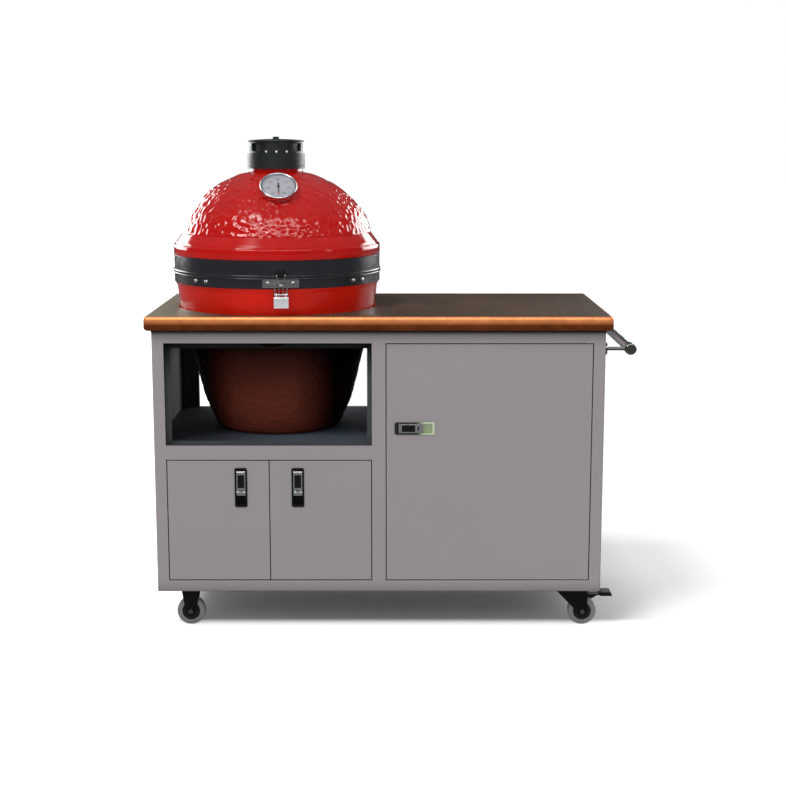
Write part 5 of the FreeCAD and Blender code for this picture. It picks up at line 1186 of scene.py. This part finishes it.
DRAFT_WINDOW = (math.radians(16.2), 0.044, 0.090)  # half its angle, lowest and highest level


def faces_middle(face):
    """Whether a face of a shell looks to the middle of the grill, where the clay is bare."""
    middle = Vector((GRILL_AXIS.x, GRILL_AXIS.y, BOWL_LOW.z + DOME_BASE))
    return (face.center - middle).dot(face.normal) < 0.0


def bowl_outline():
    """The bowl's section: foot ring, textured belly, rim, and the inside down to the floor."""
    inner = [(r - BOWL_WALL, z) for r, z in BOWL_CURVE[1:]]
    foot_inner, foot_outer, foot_hollow = FOOT_RING
    points = [(0.0, foot_hollow), (foot_inner, foot_hollow), (foot_inner + 0.001, 0.0005),
              (foot_inner + 0.002, 0.0), (foot_outer - 0.002, 0.0), (foot_outer - 0.0005, 0.001)]
    points += through(BOWL_CURVE, TEXTURE_STEP)
    points += [(RIM_RADIUS - 0.0004, RIM_SEAT), (RIM_RADIUS - 0.0002, RIM_SEAT + RIM_ROUNDING),
               (RIM_RADIUS - 0.0002, RIM_HEIGHT - RIM_ROUNDING), (RIM_RADIUS - RIM_ROUNDING, RIM_HEIGHT),
               (inner[-1][0] + RIM_ROUNDING, RIM_HEIGHT), (inner[-1][0], RIM_HEIGHT - RIM_ROUNDING)]
    points += reversed(through(inner, SMOOTH_STEP))
    return points + [(inner[0][0] - 0.012, BOWL_FLOOR), (0.0, BOWL_FLOOR)]


def dome_outline():
    """The dome's section: rim, ridged lip, smooth cone, textured crown, neck, and the inside."""
    lip_radius, lip_low, lip_high = DOME_LIP
    inner = []
    for r, z in DOME_CURVE:
        reach = math.hypot(r, z - DOME_CENTRE)
        inner.append((r * (reach - DOME_WALL) / reach,
                      DOME_CENTRE + (z - DOME_CENTRE) * (reach - DOME_WALL) / reach))
    inner_top = (THROAT_RADIUS, inner[-2][1] + 0.004)
    ridge = LIP_RIDGE
    points = [(inner[0][0], 0.0), (RIM_RADIUS - 0.0002, 0.0), (RIM_RADIUS - 0.0002, lip_low),
              (lip_radius - 0.002, lip_low), (lip_radius - 0.0006, lip_low + 0.0006),
              (lip_radius, lip_low + 0.002), (lip_radius, lip_high - ridge * 1.2),
              (lip_radius - 0.0004, lip_high - ridge * 0.7), (lip_radius - 0.0013, lip_high - ridge * 0.25),
              (lip_radius - ridge, lip_high - 0.0001), (lip_radius - ridge * 1.7, lip_high + 0.0005)]
    points += straight(DOME_CURVE[0], DOME_CURVE[1], TEXTURE_STEP)
    points += through(DOME_CURVE[1:], TEXTURE_STEP)[:-1]
    points += [(NECK_RADIUS + 0.0015, NECK_FOOT + 0.0003), (NECK_RADIUS, NECK_FOOT + 0.002),
               (NECK_RADIUS, NECK_FOOT + NECK_HEIGHT), (THROAT_RADIUS, NECK_FOOT + NECK_HEIGHT)]
    points += through([inner_top] + inner[-3:0:-1], SMOOTH_STEP)
    return [(r, DOME_BASE + z) for r, z in points]


def open_draft_window(build):
    """Opens the window low at the back of the bowl and lines its four walls."""
    half, low, high = DRAFT_WINDOW
    inverse = GRILL_PLACE.inverted()
    gone = []
    for face in build.faces:
        at = inverse @ face.calc_center_median()
        on_wall = math.hypot(at.x, at.y) > BOWL_CURVE[0][0] - BOWL_WALL * 1.3
        if low < at.z < high and on_wall and abs(math.atan2(at.x, at.y)) < half:
            gone.append(face)
    bmesh.ops.delete(build, geom=gone, context="FACES")
    bmesh.ops.bridge_loops(build, edges=[edge for edge in build.edges if edge.is_boundary])
    drop_loose_edges(build)
    faced(build)


def outline_radius(curve, height):
    """The radius of a (radius, height) curve at a height."""
    for (r0, z0), (r1, z1) in zip(curve, curve[1:]):
        if z0 <= height <= z1:
            return r0 + (r1 - r0) * (height - z0) / (z1 - z0)
    return curve[-1][0]


def belly_only(texture):
    """The texture on the bowl's outside, and nothing inside it."""
    def shift(place):
        inside = outline_radius(BOWL_CURVE, place.z) - BOWL_WALL / 2
        return 0.0 if math.hypot(place.x, place.y) < inside else texture(place)
    return shift


def crown_only(texture):
    """The texture on the dome's outside, a little proud of the smooth cone under it."""
    def shift(place):
        height = place.z - DOME_BASE
        reach = math.hypot(math.hypot(place.x, place.y), height - DOME_CENTRE)
        outside = math.hypot(NECK_RADIUS, NECK_FOOT - DOME_CENTRE)
        if height < CROWN_FOOT or reach < outside - DOME_WALL / 2:
            return 0.0
        proud = TEXTURE_PROUD * min(1.0, (height - CROWN_FOOT) / 0.002)
        fade = min(1.0, (NECK_FOOT - height) / 0.004)
        return texture(place) + proud * max(0.0, fade)
    return shift


class GRILLCART_OT_shells(bpy.types.Operator):
    """Turns the glazed bowl and dome with their pebbled texture"""
    bl_idname = "grillcart.shells"
    bl_label = "Build Glazed Shells"

    def execute(self, context):
        given = settings("grill")
        size, depth = given.dimple_size, given.dimple_depth
        belly = dimples(size, depth, BOWL_CURVE[0][1] + 0.004, TOP_HIGH.z - BOWL_LOW.z)
        shell = lathe(bowl_outline(), given.turns, GRILL_PLACE, belly_only(belly))
        open_draft_window(shell)
        # The bowl above the worktop has the glaze brightened as painted light.
        bowl = add_built("glazed_bowl", shell, "Bowl glaze painted light", "cart", ("grill_bowl",), sharp=40.0)
        # The bowl under the worktop gets the glaze darkened as painted shade.
        refinish(bowl, "Painted shade glaze", lambda face: face.center.z < (TOP_LOW.z + TOP_HIGH.z) / 2)
        refinish(bowl, "Fired clay", faces_middle)
        crown = dimples(size, depth, DOME_BASE + CROWN_FOOT, DOME_BASE + NECK_FOOT - 0.001)
        shell = lathe(dome_outline(), given.turns, GRILL_PLACE, crown_only(crown))
        dome = add_built("glazed_dome", shell, "Red glaze", "lid", ("grill_dome",), sharp=40.0)
        refinish(dome, "Fired clay", faces_middle)
        return {"FINISHED"}


# Bands, gaskets, hinge and lid latch

BAND_RADIUS = 0.282
BAND_ROUNDING = 0.0008
BEAD_RADIUS = 0.0021
BEAD_OUT = 0.0008
BEAD_ARC = 200.0
BEAD_STEPS = 12
# Node, name, body, and whether the bead lies at the top
BANDS = (("band_lower", "steel_band_lower", "cart", True), ("band_upper", "steel_band_upper", "lid", False))
GASKETS = (("gasket_lower", "felt_ring_lower", "cart"), ("gasket_upper", "felt_ring_upper", "lid"))
GASKET = (0.257, 0.0013)  # inner radius, depth of its soft edge
KEEPER = (0.012, 0.001, 0.008, 0.020, 0.003)  # half width, foot, notch, head, thickness
KEEPER_CUT = 0.004
KEEPER_ROUNDING = 0.0005
# Node, name, body, slot, finish and rounding
FITTINGS = (
    ("lid_hinge_lower", "back_hinge_lower", "cart", "black_steel", "Black coat", 0.0008),
    ("lid_hinge_upper", "back_hinge_upper", "lid", "black_steel", "Black coat", 0.0008),
    ("lid_latch_bracket", "front_latch_strap", "cart", "polished_steel", "Brushed steel", 0.0005),
    # The latch lever's steel carries a painted reflection.
    ("lid_latch_lever", "front_latch_lever", "lid latch lever", "polished_steel", "Bright steel painted sheen", 0.0005),
    ("lid_latch_bail", "front_latch_wire", "lid latch bail", "polished_steel", "Polished steel", 0.0002),
)


def grill_levels(node):
    """The lowest and the highest level of a frame piece over the bowl's foot."""
    return [corner.z - BOWL_LOW.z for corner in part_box(node)]


def band_outline(low, high, bead_at_top):
    """A flat band whose edge beside the gap is rolled into a round bead."""
    edge, far, turn = (high, low, -1) if bead_at_top else (low, high, 1)
    centre = edge + turn * BEAD_RADIUS
    points = [(RIM_RADIUS, edge)]
    for k in range(BEAD_STEPS + 1):
        angle = math.radians(90.0 - BEAD_ARC * k / BEAD_STEPS)
        points.append((BAND_RADIUS + BEAD_OUT + BEAD_RADIUS * math.cos(angle),
                       centre - turn * BEAD_RADIUS * math.sin(angle)))
    return points + [(BAND_RADIUS, far - turn * BAND_ROUNDING), (BAND_RADIUS - BAND_ROUNDING, far),
                     (RIM_RADIUS, far)]


def gasket_outline(low, high):
    """A flat ring with a soft outer edge."""
    inside, thick = GASKET
    return [(inside, low), (RIM_RADIUS - 0.0012, low), (RIM_RADIUS - 0.0003, low + thick * 0.3),
            (RIM_RADIUS - 0.0003, high - thick * 0.3), (RIM_RADIUS - 0.0012, high), (inside, high)]


def keeper_plate():
    """The hook plate with its V notch on the upper band."""
    half, low, notch, high, thick = KEEPER
    points = [(-half, low), (half, low), (half, high - KEEPER_CUT), (half / 2, high), (0.0, notch),
              (-half / 2, high), (-half, high - KEEPER_CUT)]
    upright = Matrix.Rotation(math.radians(90.0), 4, "X")
    place = GRILL_PLACE @ Matrix.Translation((0, 0, DOME_BASE)) @ upright
    build = bmesh.new()
    prism(build, points, place, BAND_RADIUS - 0.001, BAND_RADIUS + thick)
    return faced(build)


class GRILLCART_OT_bands(bpy.types.Operator):
    """Builds the steel bands, the felt gaskets, the lid's hinge and its front latch"""
    bl_idname = "grillcart.bands"
    bl_label = "Build Bands and Latch"

    def execute(self, context):
        steps = settings("grill").turns // 2
        for node, name, body, bead_at_top in BANDS:
            band = lathe(band_outline(*grill_levels(node), bead_at_top), steps, GRILL_PLACE)
            add_built(name, band, "Band coat", body, (node,))
        keeper = add_built("latch_keeper", keeper_plate(), "Black coat", "lid")
        round_edges(keeper, KEEPER_ROUNDING)
        for node, name, body in GASKETS:
            ring = lathe(gasket_outline(*grill_levels(node)), steps, GRILL_PLACE)
            add_built(name, ring, "Gasket felt", body, (node,))
        soften_all(FITTINGS)
        return {"FINISHED"}


# The thermometer

GAUGE_TILT = math.radians(49.0)
GAUGE_RADIUS = 0.049
GAUGE_WINDOW = 0.043
GAUGE_BACK = 0.003
GAUGE_FLOOR = 0.012
GAUGE_FRONT = 0.020
GAUGE_SIDES = 128
BEZEL_OUT = (0.0032, 0.0028)  # its middle outside the window, and its half width
BEZEL_BACK = (0.0022, 0.0026)  # its middle behind the front, and its half depth
BEZEL_ARC = 200.0
BEZEL_STEPS = 8
DIAL_FACE = 0.013
GLASS_LOW = 0.0179
GLASS_THICK = 0.0015
GLASS_RISE = 0.0012
GLASS_RADIUS = GAUGE_WINDOW - 0.0002
GLASS_RINGS = 12
GLASS_SIDES = 96
PROBE = (0.004, -0.088)  # radius, inner end
COLLAR = (0.014, -0.001)  # radius, inner end
DIAL_TICKS = 36
DIAL_SWEEP = 300.0
DIAL_MAJOR_EVERY = 6
# A tick reaches from one radius to another and is twice its last number wide.
MAJOR_TICK = (0.0345, 0.0405, 0.00045)
MINOR_TICK = (0.0378, 0.0405, 0.00022)
PRINT_RISE = 0.0001
NUMBER_SIZE = 0.0075
NUMBER_REACH = 0.0280
NUMBER_STEP = 50
NEEDLE_LOW, NEEDLE_HIGH = 0.0142, 0.0150
# A length of the needle lies between two distances from the spindle and has half a width at each.
NEEDLE_BLADE = (-0.014, 0.019, 0.0022, 0.0013)
NEEDLE_TIP = (0.019, 0.034, 0.0022, 0.0004)
NEEDLE_HUB = ((0.0, NEEDLE_LOW - 0.0012), (0.0012, NEEDLE_LOW - 0.0012), (0.0012, NEEDLE_LOW),
              (0.0040, NEEDLE_LOW), (0.0040, NEEDLE_HIGH + 0.0004), (0.0030, NEEDLE_HIGH + 0.0010),
              (0.0, NEEDLE_HIGH + 0.0012))
NEEDLE_HUB_SIDES = 40


def gauge_place():
    """The gauge's own axes, from where its middle line leaves the dome: Z out of the dial, Y up along it."""
    out = Vector((0.0, -math.cos(GAUGE_TILT), math.sin(GAUGE_TILT)))
    up = Vector((0.0, math.sin(GAUGE_TILT), math.cos(GAUGE_TILT)))
    axes = Matrix((Vector(RIGHT), up, out)).transposed().to_4x4()
    turned = Matrix.Rotation(GRILL_TURN, 4, "Z") @ axes
    low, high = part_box("thermometer_dial")
    dial_middle = Vector((0, 0, (GAUGE_FLOOR + DIAL_FACE) / 2))
    return Matrix.Translation((low + high) / 2 - (turned.to_3x3() @ dial_middle)) @ turned


def case_outline():
    """The case with a rounded bezel, its collar on the dome and the probe that reaches inside."""
    points = [(0.0, PROBE[1]), (PROBE[0] - 0.001, PROBE[1] + 0.0003), (PROBE[0], PROBE[1] + 0.002),
              (PROBE[0], COLLAR[1]), (COLLAR[0], COLLAR[1]), (COLLAR[0], GAUGE_BACK),
              (GAUGE_RADIUS - 0.003, GAUGE_BACK), (GAUGE_RADIUS - 0.0009, GAUGE_BACK + 0.0009),
              (GAUGE_RADIUS, GAUGE_BACK + 0.003), (GAUGE_RADIUS, GAUGE_FRONT - 0.0045)]
    for k in range(BEZEL_STEPS + 1):
        angle = math.radians(BEZEL_ARC * k / BEZEL_STEPS)
        points.append((GAUGE_WINDOW + BEZEL_OUT[0] + BEZEL_OUT[1] * math.cos(angle),
                       GAUGE_FRONT - BEZEL_BACK[0] + BEZEL_BACK[1] * math.sin(angle)))
    return points + [(GAUGE_WINDOW, GLASS_LOW), (GAUGE_WINDOW, GAUGE_FLOOR), (0.0, GAUGE_FLOOR)]


def glass_outline():
    """The gauge's glass, domed a little to the front."""
    front = GLASS_LOW + GLASS_THICK
    points = [(0.0, GLASS_LOW), (GLASS_RADIUS, GLASS_LOW), (GLASS_RADIUS, front)]
    for k in range(1, GLASS_RINGS + 1):
        radius = GLASS_RADIUS * (1 - k / GLASS_RINGS)
        points.append((radius, front + GLASS_RISE * (1 - (radius / GAUGE_WINDOW) ** 2)))
    return points


def dial_angle(tick):
    """The direction of a tick on the dial. The scale is open at its foot and runs clockwise."""
    return math.radians(-90.0 - (360.0 - DIAL_SWEEP) / 2 - DIAL_SWEEP * tick / DIAL_TICKS)


def dial_print():
    """Plain ticks round the dial, longer at every number."""
    build = bmesh.new()
    place = gauge_place()
    for k in range(DIAL_TICKS + 1):
        inner, outer, half = MINOR_TICK if k % DIAL_MAJOR_EVERY else MAJOR_TICK
        prism(build, [(inner, -half), (outer, -half), (outer, half), (inner, half)],
              place @ Matrix.Rotation(dial_angle(k), 4, "Z"), DIAL_FACE - PRINT_RISE, DIAL_FACE + PRINT_RISE)
    return build


def dial_number(text, angle):
    """One plain number of the dial, as thin raised print."""
    curve = bpy.data.curves.new("number", "FONT")
    curve.body = text
    curve.size = NUMBER_SIZE
    curve.align_x = "CENTER"
    curve.align_y = "CENTER"
    curve.extrude = PRINT_RISE
    holder = bpy.data.objects.new("number", curve)
    bpy.context.scene.collection.objects.link(holder)
    graph = bpy.context.evaluated_depsgraph_get()
    mesh = bpy.data.meshes.new_from_object(holder.evaluated_get(graph))
    bpy.data.objects.remove(holder)
    bpy.data.curves.remove(curve)
    at = Vector((NUMBER_REACH * math.cos(angle), NUMBER_REACH * math.sin(angle), DIAL_FACE))
    mesh.transform(gauge_place() @ Matrix.Translation(at))
    return mesh


def needle_part(near, far, near_half, far_half):
    """One length of the needle, measured down the dial from its spindle."""
    build = bmesh.new()
    points = [(-near_half, -near), (-far_half, -far), (far_half, -far), (near_half, -near)]
    prism(build, points, gauge_place(), NEEDLE_LOW, NEEDLE_HIGH)
    return faced(build)


class GRILLCART_OT_thermometer(bpy.types.Operator):
    """Builds the dome's thermometer: case, dial, print, needle and glass"""
    bl_idname = "grillcart.thermometer"
    bl_label = "Build Thermometer"

    def execute(self, context):
        place = gauge_place()
        case = lathe(case_outline(), GAUGE_SIDES, place, closed=False)
        add_built("gauge_case", case, "Polished steel", "lid", ("thermometer_case",),
                  sharp=50.0)
        dress("thermometer_dial", "Dial face")
        add_built("dial_ticks", dial_print(), "Dial print", "lid")
        for k in range(DIAL_TICKS // DIAL_MAJOR_EVERY + 1):
            mesh = dial_number(str(NUMBER_STEP * (k + 1)), dial_angle(k * DIAL_MAJOR_EVERY))
            add_piece("dial_number_%d" % k, mesh, "Dial print", "lid")
        blade = needle_part(*NEEDLE_BLADE)
        add_built("gauge_needle", blade, "Dial print", "needle", ("thermometer_needle",))
        add_built("gauge_needle_tip", needle_part(*NEEDLE_TIP), "Needle red", "needle")
        hub = lathe(NEEDLE_HUB, NEEDLE_HUB_SIDES, place, closed=False)
        add_built("gauge_needle_hub", hub, "Dial print", "needle")
        glass = lathe(glass_outline(), GLASS_SIDES, place, closed=False)
        add_built("gauge_glass", glass, "Gauge glass", "lid", ("thermometer_glass",))
        return {"FINISHED"}


# The vent tower

DRUM_RADIUS = 0.073
TICK_ANGLES = (-17.0, 5.0, 27.5)
TICK_LEVEL = (0.7512, 0.7580)
TICK_HALF = 0.0034
TICK_SUNK, TICK_PROUD = 0.0005, 0.0002
# Node, name, body and rounding
VENT_FITTINGS = (
    ("vent_collar", "vent_base_ring", "lid", 0.0010),
    ("vent_carrier", "vent_turning_seat", "vent carrier", 0.0010),
    ("vent_drum", "vent_shutter", "vent drum", 0.0008),
    ("vent_lid", "vent_cap", "vent drum", 0.0014),
)


def vent_ticks():
    """Three plain marks on the shutter, each a small triangle that points down."""
    build = bmesh.new()
    low, high = TICK_LEVEL
    upright = Matrix.Rotation(math.radians(90.0), 4, "X")
    for angle in TICK_ANGLES:
        place = GRILL_FOOT @ Matrix.Rotation(math.radians(angle), 4, "Z") @ upright
        prism(build, [(-TICK_HALF, high), (0.0, low), (TICK_HALF, high)], place, DRUM_RADIUS - TICK_SUNK,
              DRUM_RADIUS + TICK_PROUD)
    return faced(build)


class GRILLCART_OT_vent(bpy.types.Operator):
    """Builds the vent tower: ring, seat, shutter with its marks, and cap"""
    bl_idname = "grillcart.vent"
    bl_label = "Build Vent Tower"

    def execute(self, context):
        for node, name, body, width in VENT_FITTINGS:
            soften(node, name, "Cast black", body, width, segments=3)
        add_built("vent_marks", vent_ticks(), "Tick paint", "vent drum")
        return {"FINISHED"}


# What lies inside the grill

# Node, name, body, slot, finish and rounding
DRAFT_PIECES = (
    ("draft_frame", "draft_window_frame", "cart", "grate_steel", "Brushed steel", 0.0006),
    ("draft_door", "draft_slide", "draft door", "grate_steel", "Brushed steel", 0.0004),
)


class GRILLCART_OT_furniture(bpy.types.Operator):
    """Finishes the firebox and the grates, and builds the draft door in its frame"""
    bl_idname = "grillcart.furniture"
    bl_label = "Build Grill Furniture"

    def execute(self, context):
        dress("firebox", "Fired clay")
        dress("charcoal_grate", "Cast iron")
        dress("cooking_grate", "Grate steel")
        soften_all(DRAFT_PIECES)
        return {"FINISHED"}


# Floor, lights and camera

# The camera stands in front of the cart, level with the grill's dome.
CAMERA_PLACE = Vector((0.00495, -4.12694, 1.3081))
CAMERA_TILT_DOWN = math.radians(9.68)
CAMERA_LENS = 68.207
SENSOR_WIDTH = 36.0
SUN_TURN = math.radians(-41.0)
SUN_HEIGHT = math.radians(57.0)
SUN_SPREAD = math.radians(16.0)
SCREEN_TARGET = Vector((-0.3, 0.0, 1.1))
# Name, place, width and height, share of the brightness
SCREENS = (
    ("screen_window", (-2.35, -2.75, 3.55), (1.5, 1.0), 2.6),
    ("screen_front", (0.2, -3.3, 3.1), (4.4, 1.0), 1.0),
    ("screen_left", (-3.4, 2.9, 1.8), (3.4, 2.0), 1.3),
    ("screen_right", (2.8, 2.9, 1.8), (3.4, 2.0), 1.3),
    ("screen_side", (3.1, -1.9, 1.9), (0.4, 1.4), 0.5),
)
FLOOR_HALF = 40.0
FLOOR_LOW, FLOOR_HIGH = (0.955, 0.955, 0.955, 1), (0.965, 0.965, 0.965, 1)
FLOOR_MIRRORED = (0.22, 0.22, 0.23, 1)
# Painted light on the floor, seen by the camera alone, hides the cart's shadow on its left and in front and
# lightens it on the right by these shares: axis, start, end, share.
FLOOR_GLOW = (("X", -0.52, -0.63, 0.60), ("Y", -0.165, -0.215, 0.60), ("X", 0.60, 0.80, 0.13))
ROOM_RADIUS = 9.0
ROOM_STEPS = 48
ROOM_FADE = (0.25, 0.95)
ROOM_LOW, ROOM_HIGH = (0.07, 0.07, 0.075, 1), (0.40, 0.41, 0.43, 1)


def shown_white(tree):
    """One for rays that see the background: straight from the camera, mirrored or through glass."""
    path = add_node(tree, "ShaderNodeLightPath").outputs
    first = calculate(tree, "MAXIMUM", path["Is Camera Ray"], path["Is Glossy Ray"])
    return calculate(tree, "MAXIMUM", first, path["Is Transmission Ray"])


def floor_finish():
    """A white floor that clips to white where it is lit and keeps the cart's shadow under it; painted light,
    seen by the camera alone, hides the shadow left of the cart and in front of it and lightens it on the
    right.
    """
    tree, shader = new_finish("Studio floor")
    path = add_node(tree, "ShaderNodeLightPath").outputs
    white = blotched(tree, FLOOR_LOW, FLOOR_HIGH, 0.5)
    at = axes_of(tree, object_place(tree))
    glow = 0.0
    for axis, start, end, share in FLOOR_GLOW:
        part = graded(tree, at[axis], start, end, 0.0, share, interpolation_type="SMOOTHSTEP")
        glow = calculate(tree, "MAXIMUM", part, glow)
    seen = calculate(tree, "MULTIPLY", glow, path["Is Camera Ray"])
    fill(tree, shader, {"Base Color": mixed(tree, path["Is Glossy Ray"], white, FLOOR_MIRRORED),
                        "Roughness": 1.0, "Specular IOR Level": 0.0,
                        "Emission Color": mixed(tree, seen, BLACK, WHITE), "Emission Strength": 1.0})


def room_finish():
    """A dark wall that is paler towards the ceiling."""
    tree, shader = new_finish("Studio wall")
    height = axes_of(tree, object_place(tree))["Z"]
    rise = graded(tree, height, ROOM_FADE[0] * ROOM_RADIUS, ROOM_FADE[1] * ROOM_RADIUS)
    fill(tree, shader, {"Base Color": mixed(tree, rise, ROOM_LOW, ROOM_HIGH), "Roughness": 1.0,
                        "Specular IOR Level": 0.0})


def add_to_stage(name, data):
    """A new object of the stage."""
    piece = bpy.data.objects.new(name, data)
    bpy.context.scene.collection.objects.link(piece)
    return piece


def stage_mesh(name, build, finish):
    mesh = bpy.data.meshes.new(name)
    build.to_mesh(mesh)
    build.free()
    mesh.materials.append(bpy.data.materials[finish])
    return add_to_stage(name, mesh)


def only_mirrored(piece):
    """Shows a stage piece in reflections alone. It gives the cart no light and no shadow."""
    piece.visible_camera = False
    piece.visible_diffuse = False
    piece.visible_transmission = False
    piece.visible_shadow = False


def white_floor():
    floor_finish()
    build = bmesh.new()
    bmesh.ops.create_grid(build, x_segments=1, y_segments=1, size=FLOOR_HALF)
    floor = stage_mesh("studio_floor", build, "Studio floor")


def main_light(strength):
    sun = bpy.data.lights.new("main_light", "SUN")
    sun.energy = strength
    sun.angle = SUN_SPREAD
    towards = Vector((math.sin(SUN_TURN) * math.cos(SUN_HEIGHT), -math.cos(SUN_TURN) * math.cos(SUN_HEIGHT),
                      math.sin(SUN_HEIGHT)))
    add_to_stage("main_light", sun).rotation_euler = towards.to_track_quat("Z", "Y").to_euler()


def dark_room():
    """The dark studio round the cart, seen only in reflections, so that glaze and steel keep their depth."""
    room_finish()
    build = bmesh.new()
    bmesh.ops.create_uvsphere(build, u_segments=ROOM_STEPS, v_segments=ROOM_STEPS // 2, radius=ROOM_RADIUS)
    gone = [face for face in build.faces if face.calc_center_median().z < 0.0]
    bmesh.ops.delete(build, geom=gone, context="FACES")
    only_mirrored(stage_mesh("dark_room", build, "Studio wall"))


def screens(brightness):
    """Bright screens round the cart, mirrored in the dimples of the glaze and in the steel."""
    for name, place, (width, height), share in SCREENS:
        tree, shader = new_finish(name)
        fill(tree, shader, {"Base Color": BLACK, "Emission Color": WHITE,
                            "Emission Strength": brightness * share})
        build = bmesh.new()
        corners = [(a * width / 2, b * height / 2, 0.0) for a, b in ((-1, -1), (1, -1), (1, 1), (-1, 1))]
        build.faces.new([build.verts.new(corner) for corner in corners])
        screen = stage_mesh(name, build, name)
        turn = (Vector(place) - SCREEN_TARGET).to_track_quat("Z", "Y").to_matrix().to_4x4()
        screen.matrix_world = Matrix.Translation(place) @ turn
        only_mirrored(screen)


def make_world(ambient):
    """An even light that shows as plain white behind the cart."""
    world = bpy.data.worlds.new("Studio")
    bpy.context.scene.world = world
    world.use_nodes = True
    tree = world.node_tree
    strength = add_node(tree, "ShaderNodeMix", {"Factor": shown_white(tree), "A": ambient, "B": 1.0},
                        data_type="FLOAT").outputs["Result"]
    fill(tree, tree.nodes["Background"], {"Color": WHITE, "Strength": strength})


def photo_camera():
    camera = bpy.data.cameras.new("photo_camera")
    camera.lens = CAMERA_LENS
    camera.sensor_width = SENSOR_WIDTH
    camera.clip_end = 100.0
    holder = add_to_stage("photo_camera", camera)
    holder.location = CAMERA_PLACE
    holder.rotation_euler = (math.radians(90.0) - CAMERA_TILT_DOWN, 0.0, 0.0)
    bpy.context.scene.camera = holder


class GRILLCART_OT_stage(bpy.types.Operator):
    """Sets up the white floor, the main light, the studio screens, the even light and the camera"""
    bl_idname = "grillcart.stage"
    bl_label = "Set Up Stage"

    def execute(self, context):
        given = settings("stage")
        white_floor()
        main_light(given.sun)
        dark_room()
        screens(given.screens)
        make_world(given.ambient)
        photo_camera()
        context.scene.view_settings.view_transform = "Standard"
        return {"FINISHED"}


# Panel and registration

class GRILLCART_PT_sidebar(bpy.types.Panel):
    """Lists the cart's settings and its building steps"""
    bl_idname = "GRILLCART_PT_sidebar"
    bl_label = "Grill Cart"
    bl_space_type = "VIEW_3D"
    bl_region_type = "UI"
    bl_category = "Grill Cart"

    def draw(self, context):
        for group, kind in SETTINGS:
            box = self.layout.box()
            box.label(text=group.capitalize())
            for key in kind.__annotations__:
                box.prop(settings(group), key)
        column = self.layout.column(align=True)
        for step in STEPS:
            column.operator(step.bl_idname)


SETTINGS = (
    ("worktop", GRILLCART_PG_worktop),
    ("cabinet", GRILLCART_PG_cabinet),
    ("grill", GRILLCART_PG_grill),
    ("hardware", GRILLCART_PG_hardware),
    ("stage", GRILLCART_PG_stage),
)
STEPS = (
    GRILLCART_OT_finishes,
    GRILLCART_OT_stage,
    GRILLCART_OT_worktop,
    GRILLCART_OT_cabinet,
    GRILLCART_OT_doors,
    GRILLCART_OT_handle,
    GRILLCART_OT_casters,
    GRILLCART_OT_shells,
    GRILLCART_OT_bands,
    GRILLCART_OT_thermometer,
    GRILLCART_OT_vent,
    GRILLCART_OT_furniture,
)


def register():
    for group, kind in SETTINGS:
        bpy.utils.register_class(kind)
        setattr(bpy.types.Scene, "grillcart_" + group, PointerProperty(type=kind))
    for step in STEPS:
        bpy.utils.register_class(step)
    bpy.utils.register_class(GRILLCART_PT_sidebar)


def unregister():
    bpy.utils.unregister_class(GRILLCART_PT_sidebar)
    for step in reversed(STEPS):
        bpy.utils.unregister_class(step)
    for group, kind in reversed(SETTINGS):
        delattr(bpy.types.Scene, "grillcart_" + group)
        bpy.utils.unregister_class(kind)


def corners(bounds):
    return [list(corner) for corner in bounds]


def main():
    register()
    bpy.ops.grillcart.finishes()
    bpy.ops.grillcart.stage()
    bpy.ops.grillcart.worktop()
    bpy.ops.grillcart.cabinet()
    bpy.ops.grillcart.doors()
    bpy.ops.grillcart.handle()
    bpy.ops.grillcart.casters()
    bpy.ops.grillcart.shells()
    bpy.ops.grillcart.bands()
    bpy.ops.grillcart.thermometer()
    bpy.ops.grillcart.vent()
    bpy.ops.grillcart.furniture()


if __name__ == "__main__":
    main()
